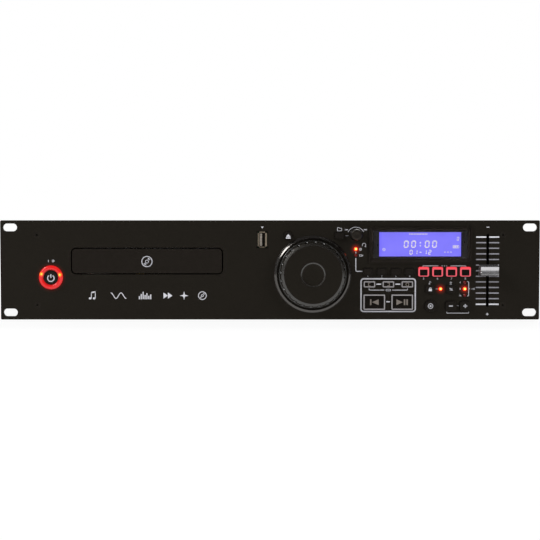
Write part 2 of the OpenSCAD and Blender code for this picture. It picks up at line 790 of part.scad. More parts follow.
module power_light_ring() {
  r0 = power_key_d / 2 + 0.3;
  r1 = power_ring_d / 2;
  color([0.85, 0.1, 0.05]) turned(power_x, power_z) polygon(concat(
    [[r0, -2], [r1 - 1.5, -2], [r1 - 1.5, panel_t], [r1, panel_t]],
    [for (i = [0 : 8]) let (a = i * 22.5) [(r0 + r1) / 2 + (r1 - r0) / 2 * cos(a),
      panel_t + 0.8 + 1.4 * sin(a)]]));
}

module power_key() {
  color([0.05, 0.05, 0.05]) {
    translate([power_x, 0, power_z]) {
      along_y(-panel_t - 1, 3.2) circle(d = power_key_d);
      along_y(2.1, 3.3) circle(d = power_key_d + 2.4);
      along_y(2.1, tip_y) circle(d = plunger_d);
    }
  }
}

module jog_bezel() {
  ri = jog_bezel_d / 2 - jog_bezel_band;
  slope = jog_bezel_band - 0.4;
  color([0.03, 0.03, 0.03]) turned(jog_x, jog_z) polygon(concat([[ri, panel_t], [jog_bezel_d / 2, panel_t]],
    [for (i = [0 : 6]) let (t = i / 6) [jog_bezel_d / 2 - slope * t,
      panel_t + 0.3 + (jog_bezel_h - 0.3) * (1 - pow(1 - t, 1.25))]],
    [[ri, panel_t + jog_bezel_h - 0.4]]));
}

module jog_bushing() {
  rb = jog_shaft_d / 2 + fit_gap;
  rt = jog_shaft_d / 2 + 2;
  color([0.8, 0.65, 0.3]) turned(jog_x, jog_z)
    polygon([[rb, -5], [rt, -5], [rt, -3.4], [rt + 3, -3.4], [rt + 3, 0], [rt, 0], [rt, panel_t],
      [rt + 3, panel_t], [rt + 3, panel_t + 1.2], [rb, panel_t + 1.2]]);
}

module jog_wheel() {
  rw = jog_wheel_d / 2;
  rf = jog_face_d / 2;
  rs = jog_shaft_d / 2 + 0.02;
  rd = jog_dish_d / 2;
  rk = jog_bezel_d / 2 - jog_bezel_band - skirt_gap;
  f0 = panel_t + 1;
  f1 = panel_t + jog_h;
  notch_end = f0 + skirt_t + notch_d / 2;
  color([0.07, 0.07, 0.075]) difference() {
    turned(jog_x, jog_z) polygon([[rw - 3, f0], [rk, f0], [rk, f0 + skirt_t - 0.3], [rk - 0.3, f0 + skirt_t],
      [rw + 0.2, f0 + skirt_t], [rw, f1 - 2.2], [rw - 0.3, f1 - 1.5], [rf + 0.3, f1 - 0.2], [rf - 0.6, f1],
      [rd + 0.3, f1], [rd, f1 - 0.1], [rd - 1.1, f1 - 0.65], [rd * 0.45, f1 - 0.85], [0, f1 - 0.9], [0, f1 - 4],
      [rs, f1 - 4], [rs, panel_t + 1.6], [rs + 3.5, panel_t + 1.6], [rs + 3.5, f1 - 4.5],
      [rf - 2.6, f1 - 4.5]]);
    for (i = [0 : jog_notches - 1]) translate([jog_x, 0, jog_z])
      rotate([0, 360 / jog_notches * (i + 0.25), 0]) translate([0, 0, rw + 0.1]) {
        along_y(-f1 - 1, -notch_end) circle(d = notch_d);
        translate([0, -notch_end, 0]) sphere(d = notch_d);
      }
  }
}

module jog_shaft() {
  color([0.75, 0.75, 0.77]) {
    translate([jog_x, 0, jog_z]) along_y(-panel_t - jog_h + 4.1, shaft_end) circle(d = jog_shaft_d);
    translate([jog_x, 0, jog_z]) along_y(code_y, code_y + code_t) difference() {
      circle(d = code_d);
      for (i = [0 : code_slots - 1]) rotate(360 / code_slots * i) translate([code_slot_r, 0])
        square(code_slot, center = true);
    }
  }
}

module track_encoder() {
  color([0.35, 0.36, 0.38]) translate([track_x, 0, track_z]) difference() {
    union() {
      along_y(4.6, board_y) rounded_rect(12, 12, 0.8);
      along_y(-panel_t - 0.3, 5) circle(d = 7);
    }
    along_y(-panel_t - 1, 6) circle(d = 5 + 2 * fit_gap);
    along_y(5.8, 10.5) circle(d = 10.1);
  }
}

module track_rotor() {
  color([0.9, 0.9, 0.88]) translate([track_x, 0, track_z]) along_y(rotor_y, rotor_y + 3.1) difference() {
    circle(d = 9.9);
    intersection() {
      circle(d = 5 + 2 * fit_gap);
      translate([0, -0.95]) square([8, 5 + 2 * fit_gap], center = true);
    }
  }
}

module track_knob() {
  f0 = panel_t + knob_push + 0.6;
  f1 = panel_t + knob_h;
  rb = knob_base_d / 2;
  rt = knob_tip_d / 2;
  color([0.06, 0.06, 0.06]) {
    difference() {
      turned(track_x, track_z) polygon([[2.54, f0], [rb, f0], [rb, f0 + 1.6], [rb - 0.5, f0 + 2.4],
        [rt + 0.1, f1 - 1.2], [rt - 0.3, f1 - 0.4], [rt - 1.2, f1], [0, f1 - 0.2], [0, f1 - 3.2],
        [2.54, f1 - 3.2]]);
      for (i = [0 : 15]) translate([track_x, 0, track_z]) rotate([0, 22.5 * i, 0]) translate([0, 0, rb - 0.1])
        along_y(-f1 - 1, -f0 - 2.4) circle(d = 1);
    }
    translate([track_x, 0, track_z]) {
      along_y(-f1 + 3.25, rotor_y - knob_push - 0.3) circle(d = 5);
      along_y(rotor_y - knob_push - 0.4, rotor_y + 3.5) intersection() {
        circle(d = 5);
        translate([0, -1]) square([8, 5], center = true);
      }
    }
  }
}

module indicator_led(x, z) {
  r = led_d / 2;
  turned(x, z) polygon(concat([[0, -2.5], [r + 0.4, -2.5], [r + 0.4, -1.4], [r, -1.4]],
    [for (i = [0 : 5]) [r * cos(18 * i), panel_t - 0.4 + r * sin(18 * i)]]));
  for (s = [-1, 1]) translate([x + s * 0.85 * r, 0, z]) along_y(2.4, board_y) square(0.5, center = true);
}

module indicator_leds() {
  color([0.6, 0.05, 0.03]) for (p = led_places()) indicator_led(p[0], p[1]);
}

module fader_housing() {
  color([0.6, 0.6, 0.62]) translate([fader_x, 0, fader_z]) difference() {
    along_y(housing_y, board_y) square([housing_w, fader_travel + housing_over], center = true);
    along_y(housing_y - 1, 6.2) square([3, fader_travel + 6], center = true);
    along_y(5.4, 10.6) square([carriage_w + 0.6, fader_travel + carriage_l + 3], center = true);
  }
}

module fader_cap() {
  h = cap_h / 2;
  w = cap_w / 2;
  tip = -panel_t - cap_l;
  foot = cap_base_y - 2;
  color([0.8, 0.8, 0.82]) translate([fader_x, 0, fader_z]) {
    difference() {
      intersection() {
        along_x(-w - 1, w + 1) polygon([[cap_base_y, -h - 1.4], [cap_base_y, h + 1.4], [foot, h + 1.2],
          [tip + 0.6, h], [tip, h - 0.5], [tip + 0.7, 0.5], [tip + 1.6, 0.4], [tip + 1.6, -0.4],
          [tip + 0.7, -0.5], [tip, 0.5 - h], [tip + 0.6, -h], [foot, -h - 1.2]]);
        along_z(-cap_h, cap_h) polygon([[-w, cap_base_y], [w, cap_base_y], [w, foot], [w - 0.5, tip],
          [0.5 - w, tip], [-w, foot]]);
      }
      along_y(cap_base_y - 6, cap_base_y + 1) square([1.2 + 2 * fit_gap, 4 + 2 * fit_gap], center = true);
    }
    along_y(cap_base_y - 5.9, 7) square([1.2, 4], center = true);
    along_y(6.6, 10.2) square([carriage_w, carriage_l], center = true);
  }
}

// Walls, ledges and hold-down lips that guide the tray
module guide_section() {
  g = guide_half;
  for (m = [0, 1]) translate([tray_x, 0]) mirror([m, 0]) polygon([[g + wall_t, frame_bottom],
    [g + wall_t, frame_top], [g, frame_top], [g, tray_top + 1.8], [g - 2, tray_top + 1.8],
    [g - 2, tray_top + 0.3], [g, tray_top + 0.3], [g, tray_bottom - 0.3], [g - 4, tray_bottom - 0.3],
    [g - 4, tray_bottom - 2.3], [g, tray_bottom - 2.3], [g, frame_bottom]]);
}

module loader_frame() {
  color([0.1, 0.1, 0.11]) difference() {
    union() {
      along_y(frame_y0, frame_y1) guide_section();
      along_y(frame_y1 - 2.5, frame_y1) translate([tray_x, (frame_top + frame_bottom) / 2])
        square([2 * guide_half + 1, frame_top - frame_bottom], center = true);
      along_z(deck_z - 2, deck_z) translate([tray_x - guide_half - 0.5, frame_y0 + 0.5])
        square([2 * guide_half + 1, 34]);
      for (s = [-1, 1]) translate([tray_x + s * hinge_ear_x, 0, 0])
        along_x(-hinge_ear_t / 2, hinge_ear_t / 2)
        translate([hinge_y - 9, frame_bottom])
          square([frame_y1 - hinge_y + 8, tray_bottom - 1.5 - frame_bottom]);
      for (p = loader_feet()) translate([p[0], p[1], 0]) along_z(floor_z, frame_bottom + 3) circle(d = 9);
      translate([pinion_x, pinion_y, 0]) along_z(deck_z - 1, pinion_z1 - 0.6) circle(d = 4);
    }
    along_x(tray_x - hinge_bore_l / 2, tray_x + hinge_bore_l / 2) translate([hinge_y, hinge_z])
      circle(d = trunnion_d + 2 * fit_gap);
    translate([motor_x, pinion_y, 0]) along_z(deck_z - 3, deck_z + 1) circle(d = 4);
  }
}

module clamper_bridge() {
  color([0.62, 0.63, 0.65]) difference() {
    along_x(tray_x - guide_half - wall_t, tray_x + guide_half + wall_t) translate([spindle_y, bridge_z])
      difference() {
        translate([-bridge_w / 2, 0]) square([bridge_w, bridge_h]);
        translate([bridge_t - bridge_w / 2, bridge_t]) square([bridge_w - 2 * bridge_t, bridge_h]);
      }
    translate([tray_x, spindle_y, 0]) along_z(bridge_z - 1, bridge_z + 3)
      circle(d = clamper_hole_d);
  }
}

module disc_clamper() {
  z0 = hub_seat + 1.4;
  color([0.85, 0.85, 0.83]) translate([tray_x, spindle_y, 0]) rotate_extrude()
    polygon([[9.4, z0], [11.6, z0], [11.6, bridge_z + 1.5], [15.5, bridge_z + 1.5], [15.5, bridge_z + 3],
      [11, bridge_z + 4], [0, bridge_z + 4], [0, z0 + 2.6], [9.4, z0 + 2.6]]);
}

module loading_motor() {
  color([0.7, 0.7, 0.72]) translate([motor_x, pinion_y, 0]) rotate_extrude()
    polygon([[1 + fit_gap, deck_z - 2], [10.5, deck_z - 2], [10.5, deck_z - 20], [4, deck_z - 20],
      [4, deck_z - 22], [0, deck_z - 22], [0, deck_z - 14], [1 + fit_gap, deck_z - 14]]);
}

module motor_pulley() {
  r = motor_pulley_d / 2;
  color([0.75, 0.6, 0.25]) translate([motor_x, pinion_y, 0]) rotate_extrude()
    polygon([[0, deck_z - 13.5], [1, deck_z - 13.5], [1, deck_z + 0.6], [r + 1.5, deck_z + 0.6],
      [r + 1.5, deck_z + 1.4], [r, deck_z + 2], [r, deck_z + 4], [r + 1.5, deck_z + 4.6],
      [r + 1.5, deck_z + 5.4], [0, deck_z + 5.4]]);
}

module belt_loop(extra) {
  hull() {
    translate([pinion_x, pinion_y]) circle(d = pulley_d + 2 * extra);
    translate([motor_x, pinion_y]) circle(d = motor_pulley_d + 2 * extra);
  }
}

module drive_belt() {
  color([0.03, 0.03, 0.03]) along_z(deck_z + 2.2, deck_z + 3.8) difference() {
    belt_loop(0.15 + belt_s);
    belt_loop(0.15);
  }
}

module gear_outline() {
  rb = pitch_r * cos(20);
  ra = pitch_r + gear_module;
  rr = pitch_r - 1.25 * gear_module;
  root = 110 / pinion_teeth;
  flank = [for (k = [0 : 4]) let (r = rb + (ra - rb) * k / 4) [r, tooth_half(r, pitch_r, rb, pinion_teeth)]];
  polygon([for (i = [0 : pinion_teeth - 1]) let (a = 360 / pinion_teeth * (i + 0.5))
    each concat([rr * [cos(a - root), sin(a - root)]],
      [for (k = [0 : 4]) flank[k][0] * [cos(a - flank[k][1]), sin(a - flank[k][1])]],
      [for (k = [4 : -1 : 0]) flank[k][0] * [cos(a + flank[k][1]), sin(a + flank[k][1])]],
      [rr * [cos(a + root), sin(a + root)]])]);
}

module drive_gear() {
  r = pulley_d / 2;
  color([0.9, 0.9, 0.86]) translate([pinion_x, pinion_y, 0]) difference() {
    union() {
      along_z(deck_z + 5, pinion_z1) gear_outline();
      rotate_extrude() polygon([[0, deck_z + 0.3], [r + 1.5, deck_z + 0.3], [r + 1.5, deck_z + 0.9],
        [r, deck_z + 2], [r, deck_z + 4], [r + 1.5, deck_z + 5.1], [r + 1.5, deck_z + 5.6],
        [0, deck_z + 5.6]]);
    }
    along_z(deck_z, pinion_z1 + 1) circle(d = 4 + 2 * fit_gap);
  }
}

// Straight-sided teeth along the tray, one tooth centred on the pinion
module rack_outline() {
  n0 = ceil((tray_front + 8 - pinion_y) / tooth_pitch);
  n1 = floor((tray_rear - 6 - pinion_y) / tooth_pitch);
  half = tooth_pitch / 4 - tooth_slack / 2;
  ta = tan(20) * gear_module;
  polygon(concat([[rack_x - 3.4, tray_front + 5], [rack_x - 1.3 * gear_module, tray_front + 5]],
    [for (n = [n0 : n1]) let (y = pinion_y + n * tooth_pitch) each
      [[rack_x - 1.3 * gear_module, y - half - 1.3 * ta], [rack_x + gear_module, y - half + ta],
       [rack_x + gear_module, y + half - ta], [rack_x - 1.3 * gear_module, y + half + 1.3 * ta]]],
    [[rack_x - 1.3 * gear_module, tray_rear - 3], [rack_x - 3.4, tray_rear - 3]]));
}

module disc_tray() {
  mid_y = (tray_front + tray_rear) / 2;
  len = tray_rear - tray_front;
  slot_y = spindle_y - slot_half;
  color([0.13, 0.13, 0.14]) {
    difference() {
      along_z(tray_bottom, tray_top) translate([tray_x, mid_y]) rounded_rect(tray_w, len, 3);
      along_z(tray_bottom - 1, tray_floor - 1.6) translate([tray_x + 0.9, mid_y])
        square([tray_w - 15, len - 8], center = true);
      translate([tray_x, spindle_y, 0]) along_z(tray_floor, tray_top + 1) circle(d = recess_d);
      translate([tray_x, spindle_y, 0]) along_z(tray_floor - 0.7, tray_top + 1) circle(d = 81);
      along_z(tray_bottom - 1, tray_top + 1) translate([tray_x - slot_half, slot_y])
        square([2 * slot_half, bar_y - slot_y]);
      along_z(tray_bottom - 1, tray_floor - 0.4) translate([tray_x - channel_half, slot_y])
        square([2 * channel_half, len]);
      along_z(tray_floor + 2.2, tray_top + 1) translate([tray_x - channel_half, bar_y - 1])
        square([2 * channel_half, 20]);
    }
    along_z(tray_bottom - 4.6, tray_bottom + 0.2) rack_outline();
  }
}

module tray_door() {
  color([0.09, 0.088, 0.085]) translate([tray_x, 0, tray_z]) along_y(tray_front - door_t, tray_front)
    rounded_rect(door_w, door_h, door_r);
}

module traverse_plate() {
  front = spindle_y - plate_lead;
  color([0.14, 0.14, 0.15]) difference() {
    union() {
      along_z(plate_z1 - plate_t, plate_z1) translate([tray_x, (front + hinge_y + 4) / 2])
        rounded_rect(2 * plate_half, hinge_y + 4 - front, 4);
      for (s = [-1, 1]) translate([tray_x + s * trunnion_x, 0, 0])
        along_x(-trunnion_l / 2, trunnion_l / 2) translate([hinge_y, hinge_z]) circle(d = trunnion_d);
      for (s = [-1, 1], y = [rod_start + post_inset, rod_end - post_inset])
        translate([0, spindle_y + y, 0]) along_y(-post_t / 2, post_t / 2)
          translate([tray_x + s * rod_x, plate_z1 + 3]) square([post_w, post_h], center = true);
    }
    for (s = [-1, 1]) translate([tray_x + s * rod_x, 0, rod_z]) along_y(spindle_y, hinge_y)
      circle(d = rod_d + 2 * fit_gap);
    along_z(plate_z1 - 5, plate_z1 + 0.1) translate([tray_x, spindle_y + rod_mid])
      rounded_rect(sled_window_w, sled_window_l, 3);
    translate([tray_x, spindle_y, 0]) along_z(plate_z1 - 5, plate_z1 + 1) circle(d = 6);
  }
}

module sled_rods() {
  color([0.78, 0.78, 0.8]) for (s = [-1, 1]) translate([tray_x + s * rod_x, 0, rod_z])
    along_y(spindle_y + rod_start, spindle_y + rod_end) circle(d = rod_d);
}

module spindle_motor() {
  z1 = plate_z1 - plate_t;
  color([0.65, 0.66, 0.68]) translate([tray_x, spindle_y, 0]) rotate_extrude()
    polygon([[1 + fit_gap, z1], [12, z1], [12, z1 - 8], [10.5, z1 - 9], [0, z1 - 9], [0, z1 - 7],
      [1 + fit_gap, z1 - 7]]);
}

module spindle_hub() {
  rh = hub_d / 2;
  z0 = plate_z1 - plate_t - 6.8;
  color([0.82, 0.82, 0.8]) translate([tray_x, spindle_y, 0]) rotate_extrude()
    polygon([[0, z0], [1, z0], [1, plate_z1 + 0.4], [5, plate_z1 + 0.4], [5, hub_seat - 1.4],
      [rh, hub_seat - 1.4], [rh, hub_seat], [boss_r, hub_seat], [boss_r - 0.15, hub_seat + 1.2],
      [boss_r * 0.75, hub_seat + 2.6], [0, hub_seat + 2.6]]);
}

module optical_pickup() {
  color([0.25, 0.26, 0.28]) translate([tray_x, pickup_y, 0]) {
    difference() {
      union() {
        along_z(rod_z - sled_h / 2, rod_z + sled_h / 2) rounded_rect(sled_w, sled_l, 2);
        along_z(rod_z, rod_z + turret_h) rounded_rect(turret_w, turret_w, 2);
      }
      for (s = [-1, 1]) translate([s * rod_x, 0, rod_z]) along_y(-sled_l, sled_l)
        circle(d = rod_d + 2 * fit_gap);
    }
    translate([0, 0, rod_z + turret_h - 0.1]) rotate_extrude()
      polygon([[0, 0], [3.2, 0], [2.6, 0.4], [1.4, 0.7], [0, 0.8]]);
  }
}

module eject_key() {
  color([0.05, 0.05, 0.05]) round_key(eject_x, eject_z, eject_d);
}

module folder_key() {
  color([0.05, 0.05, 0.05]) rect_key(folder_x, folder_z, row_w, row_h, 0.9);
}

module row_key(i) {
  color([0.05, 0.05, 0.05]) rect_key(row_at(i), row_z, row_w, row_h, 0.9);
}

module effect_key(i) {
  color([0.75, 0.06, 0.04]) rect_key(row_at(i), row_z, effect_w, effect_h, 1.4, 1.2);
}

module loop_key(i) {
  color([0.12, 0.12, 0.12]) rect_key(loop_x + loop_pitch * i, loop_z, loop_w, loop_h, 0.9, 1.2);
}

module cue_play_key(i) {
  color([0.12, 0.12, 0.12]) rect_key(cue_x + cue_pitch * i, cue_z, cue_w, cue_h, 1.5, 1.2);
}

module source_key() {
  row_key(0);
}

module time_key() {
  row_key(1);
}

module single_key() {
  row_key(2);
}

module program_key() {
  row_key(3);
}

module search_key() {
  effect_key(4);
}

module scratch_key() {
  effect_key(5);
}

module reverse_key() {
  effect_key(6);
}

module brake_key() {
  effect_key(7);
}

module loop_in_key() {
  loop_key(0);
}

module loop_out_key() {
  loop_key(1);
}

module reloop_key() {
  loop_key(2);
}

module cue_key() {
  cue_play_key(0);
}

module play_key() {
  cue_play_key(1);
}

module lock_key() {
  color([0.05, 0.05, 0.05]) shield_key(lock_x, lock_z);
}

module range_key() {
  color([0.05, 0.05, 0.05]) shield_key(lock_x + lock_pitch, lock_z);
}

module tap_key() {
  color([0.05, 0.05, 0.05]) round_key(tap_x, tap_z, tap_d);
}

module bend_down_key() {
  color([0.05, 0.05, 0.05]) rect_key(bend_x, tap_z, bend_w, bend_h, 2);
}

module bend_up_key() {
  color([0.05, 0.05, 0.05]) rect_key(bend_x + bend_pitch, tap_z, bend_w, bend_h, 2);
}

front_panel();
chassis_base();
top_cover();
case_screws();
rubber_feet();
mains_inlet();
audio_jacks();
power_supply();
main_board();
control_board();
display_frame();
display_window();
lcd_module();
usb_socket();
power_light_ring();
jog_bezel();
jog_bushing();
indicator_leds();
fader_housing();
track_encoder();
loader_frame();
clamper_bridge();
loading_motor();
drive_belt();
disc_tray();
tray_door();
drive_gear();
motor_pulley();
traverse_plate();
sled_rods();
spindle_motor();
spindle_hub();
optical_pickup();
disc_clamper();
jog_wheel();
jog_shaft();
track_rotor();
track_knob();
fader_cap();
power_key();
eject_key();
folder_key();
source_key();
time_key();
single_key();
program_key();
search_key();
scratch_key();
reverse_key();
brake_key();
loop_in_key();
loop_out_key();
reloop_key();
cue_key();
play_key();
lock_key();
range_key();
tap_key();
bend_down_key();
bend_up_key();
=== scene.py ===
"""Looks of a rack-mount disc player: finishes, printed marks, display, lamps, studio and camera."""

import json
import math

import bmesh
import bpy
from mathutils import Matrix, Vector


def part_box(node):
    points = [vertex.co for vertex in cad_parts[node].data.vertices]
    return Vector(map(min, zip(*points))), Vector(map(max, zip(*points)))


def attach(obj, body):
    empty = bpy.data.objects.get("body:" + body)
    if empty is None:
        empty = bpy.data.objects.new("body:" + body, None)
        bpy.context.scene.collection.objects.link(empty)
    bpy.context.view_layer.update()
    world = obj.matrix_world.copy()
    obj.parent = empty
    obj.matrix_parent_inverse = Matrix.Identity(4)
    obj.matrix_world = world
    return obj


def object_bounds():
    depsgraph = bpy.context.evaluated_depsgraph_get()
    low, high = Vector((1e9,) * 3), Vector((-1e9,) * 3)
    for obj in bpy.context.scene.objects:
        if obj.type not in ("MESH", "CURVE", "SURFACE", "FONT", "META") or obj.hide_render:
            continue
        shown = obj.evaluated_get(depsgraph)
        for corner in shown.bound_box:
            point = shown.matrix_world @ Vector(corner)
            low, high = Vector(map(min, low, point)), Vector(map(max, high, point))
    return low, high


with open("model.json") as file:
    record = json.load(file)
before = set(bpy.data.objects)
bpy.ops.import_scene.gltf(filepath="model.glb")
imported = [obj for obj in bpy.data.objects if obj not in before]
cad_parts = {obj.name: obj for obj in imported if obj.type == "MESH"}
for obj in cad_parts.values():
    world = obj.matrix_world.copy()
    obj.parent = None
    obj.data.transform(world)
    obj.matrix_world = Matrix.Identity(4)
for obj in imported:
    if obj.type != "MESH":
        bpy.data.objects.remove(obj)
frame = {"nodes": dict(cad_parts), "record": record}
cad_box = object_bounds()
NODES = frame["nodes"]
SLOT_OF = {s["node"]: s["material_slot"] for s in frame["record"]["subparts"]}
BODY_OF = {n: b for b, names in frame["record"]["behaviour"]["bodies"].items() for n in names}
MM = 0.001
UM = 0.000001


# Sizes read from the solids, in millimetres

def centre(node):
    """Middle of a node as seen from the front, as X and Z in mm."""
    low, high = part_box(node)
    return (low.x + high.x) / 2 / MM, (low.z + high.z) / 2 / MM


def front(node):
    """Y of the foremost face of a node, in mm."""
    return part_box(node)[0].y / MM


def span_of(node):
    """Width and height of a node as seen from the front, in mm."""
    low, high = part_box(node)
    return (high.x - low.x) / MM, (high.z - low.z) / MM


# Building blocks of the finishes

def screen(r, g, b):
    """The linear colour of an 8-bit screen colour."""
    def linear(c):
        c = c / 255.0
        return c / 12.92 if c <= 0.04045 else ((c + 0.055) / 1.055) ** 2.4
    return (linear(r), linear(g), linear(b), 1.0)


def scaled(color, factor):
    return tuple(min(1.0, c * factor) for c in color[:3]) + (1.0,)


# Colour sockets of a mix node, which share their names with its other sockets
MIX_A = 6
MIX_B = 7
MIX_RESULT = 2
RELIEF_STRENGTH = 0.6


class Surface:
    """A principled material whose colour, roughness and bump come from nodes."""

    def __init__(self, name, metal=0.0, specular=0.5, tint=None, coat=0.0, coat_rough=0.06):
        self.mat = bpy.data.materials.new(name)
        self.mat.use_nodes = True
        self.tree = self.mat.node_tree
        self.shader = self.tree.nodes["Principled BSDF"]
        self.set("Metallic", metal)
        self.set("Specular IOR Level", specular)
        if tint:
            self.set("Specular Tint", tint)
        self.set("Coat Weight", coat)
        self.set("Coat Roughness", coat_rough)
        self.place = self.add("ShaderNodeTexCoord").outputs["Object"]

    def add(self, kind, **settings):
        node = self.tree.nodes.new(kind)
        for key, value in settings.items():
            setattr(node, key, value)
        return node

    def put(self, socket, value):
        """Links the socket where the value is another socket, and sets it otherwise."""
        if isinstance(value, bpy.types.NodeSocket):
            self.tree.links.new(value, socket)
        else:
            socket.default_value = value

    def set(self, name, value):
        self.put(self.shader.inputs[name], value)

    def base(self):
        """The socket that feeds the base colour."""
        return self.shader.inputs["Base Color"].links[0].from_socket

    def noise(self, scale, detail=2.0, stretch=None):
        node = self.add("ShaderNodeTexNoise")
        node.inputs["Scale"].default_value = scale
        node.inputs["Detail"].default_value = detail
        vector = self.place
        if stretch:
            mapping = self.add("ShaderNodeMapping")
            mapping.inputs["Scale"].default_value = stretch
            self.put(mapping.inputs["Vector"], vector)
            vector = mapping.outputs["Vector"]
        self.put(node.inputs["Vector"], vector)
        return node.outputs["Fac"]

    def span(self, value, low, high, start=0.3, end=0.7):
        """Maps start to end onto low to high, and holds it at both."""
        node = self.add("ShaderNodeMapRange")
        for name, item in (("Value", value), ("From Min", start), ("From Max", end),
                           ("To Min", low), ("To Max", high)):
            self.put(node.inputs[name], item)
        return node.outputs["Result"]

    def blend(self, factor, a, b):
        node = self.add("ShaderNodeMix", data_type="RGBA")
        self.put(node.inputs["Factor"], factor)
        self.put(node.inputs[MIX_A], a)
        self.put(node.inputs[MIX_B], b)
        return node.outputs[MIX_RESULT]

    def calc(self, operation, a, b=0.0):
        node = self.add("ShaderNodeMath", operation=operation)
        self.put(node.inputs[0], a)
        self.put(node.inputs[1], b)
        return node.outputs[0]

    def times(self, a, b):
        return self.calc("MULTIPLY", a, b)

    def over(self, value, limit):
        """1 where a value in metres is above a limit in mm, and 0 elsewhere."""
        return self.calc("GREATER_THAN", value, limit * MM)

    def under(self, value, limit):
        """1 where a value in metres is below a limit in mm, and 0 elsewhere."""
        return self.calc("LESS_THAN", value, limit * MM)

    def within(self, value, low, high):
        """1 where a value in metres lies between low and high in mm, and 0 elsewhere."""
        return self.times(self.over(value, low), self.under(value, high))

    def ramp(self, value, low, high, start, end):
        """Maps a value in metres, from start to end in mm, onto low to high."""
        return self.span(value, low, high, start * MM, end * MM)

    def fade(self, value, start, end, power):
        """Falls from 1 at start to 0 at end, both in mm, steeper for a higher power."""
        return self.calc("POWER", self.ramp(value, 1.0, 0.0, start, end), power)

    def axis(self, name):
        node = self.add("ShaderNodeSeparateXYZ")
        self.put(node.inputs[0], self.place)
        return node.outputs[name]

    def between(self, name, low, high):
        """1 where a coordinate lies between low and high in mm, and 0 elsewhere."""
        return self.within(self.axis(name), low, high)

    def away(self, x, z):
        """Distance in metres from a line along Y at x, z in mm."""
        flat = self.add("ShaderNodeCombineXYZ")
        self.put(flat.inputs["X"], self.axis("X"))
        self.put(flat.inputs["Z"], self.axis("Z"))
        node = self.add("ShaderNodeVectorMath", operation="DISTANCE")
        self.put(node.inputs[0], flat.outputs[0])
        self.put(node.inputs[1], (x * MM, 0.0, z * MM))
        return node.outputs["Value"]

    def nearest(self, places):
        """Distance in metres from the nearest of some lines along Y at x, z in mm."""
        near = self.away(*places[0])
        for place in places[1:]:
            near = self.calc("MINIMUM", near, self.away(*place))
        return near

    def mottle(self, color, vary, scale):
        """The colour with a soft variation of that share."""
        return self.blend(self.span(self.noise(scale), 0.0, 1.0), scaled(color, 1 - vary),
                          scaled(color, 1 + vary))

    def gloss(self, scale, low, high):
        """Roughness that wanders from low to high."""
        self.set("Roughness", self.span(self.noise(scale), low, high))

    def relief(self, scale, height, stretch=None):
        """A fine bump with its height in micrometres."""
        node = self.add("ShaderNodeBump")
        node.inputs["Strength"].default_value = RELIEF_STRENGTH
        node.inputs["Distance"].default_value = height * UM
        self.put(node.inputs["Height"], self.noise(scale, stretch=stretch))
        self.set("Normal", node.outputs["Normal"])

    def glow(self, color, strength):
        self.set("Emission Color", color)
        self.set("Emission Strength", strength)


# Size of the colour's and the gloss's grain beside the relief's
COLOR_GRAIN = 0.3
GLOSS_GRAIN = 0.5
GLOSS_DETAIL = 3.0


def finish(name, color, rough, scale=1500.0, vary=0.14, rough_vary=0.06, height=8.0, stretch=None,
           **kind):
    """A plain finish: mottled colour, uneven gloss and a fine relief in micrometres."""
    s = Surface(name, **kind)
    s.set("Base Color", s.mottle(color, vary, scale * COLOR_GRAIN))
    grain = s.noise(scale * GLOSS_GRAIN, GLOSS_DETAIL, stretch)
    s.set("Roughness", s.span(grain, rough - rough_vary, rough + rough_vary))
    s.relief(scale, height, stretch)
    return s


# Plain finishes, by material slot

WARM = (1.0, 0.86, 0.68, 1.0)
SATIN = {"specular": 0.16, "tint": WARM}
ALONG_Y = (14.0, 1.0, 14.0)

FINISHES = {
    "cover_paint": finish("textured_black_paint", screen(27, 27, 28), 0.58, vary=0.16, rough_vary=0.08,
                          height=30, specular=0.3),
    "foot_rubber": finish("foot_rubber", screen(26, 26, 26), 0.82, scale=1300, height=20),
    "black_plastic": finish("moulded_black_plastic", screen(21, 18, 16), 0.42, scale=2200, height=4,
                            **SATIN),
    "key_black": finish("black_key", screen(18, 16, 15), 0.42, scale=2600, **SATIN),
    "key_rimmed": finish("black_transport_key", screen(12, 10, 9), 0.44, scale=2600, specular=0.1,
                         tint=WARM),
    "board_green": finish("circuit_board", screen(26, 78, 44), 0.4, scale=700, vary=0.25, coat=0.3),
    "bright_steel": finish("bright_steel", screen(190, 190, 192), 0.28, scale=900, vary=0.06,
                           rough_vary=0.08, height=3, metal=1.0),
    "rod_steel": finish("ground_steel_rod", screen(200, 200, 202), 0.2, scale=700, vary=0.05, height=2,
                        stretch=ALONG_Y, metal=1.0),
    "gear_white": finish("white_acetal", screen(226, 224, 214), 0.42, scale=1400, vary=0.05),
    "belt_rubber": finish("belt_rubber", screen(22, 22, 23), 0.7, scale=1600, height=10),
    "jack_brass": finish("bearing_brass", screen(196, 170, 104), 0.3, scale=900, vary=0.08, height=3,
                         metal=1.0),
    "cap_silver": finish("silver_painted_cap", screen(206, 205, 207), 0.2, scale=2600, vary=0.03,
                         rough_vary=0.03, height=1, metal=0.92),
}

# Finishes of single nodes, with places and lengths in mm

PANEL_BLACK = screen(20, 18, 15)
LIT_LAMPS = ((76.8, 18.8), (152.8, -16.9), (174.5, -16.9))
# Painted light: the red glow that the panel paint itself gives off about the lit lamps and the power ring
SPILL_RED = (1.0, 0.03, 0.015, 1.0)
SPILL_POWER = 3.0
LAMP_SPILL = (1.2, 6.5)
LAMP_SPILL_LEVEL = 0.34
RING_SPILL = (10.7, 15.0)
RING_SPILL_LEVEL = 0.06


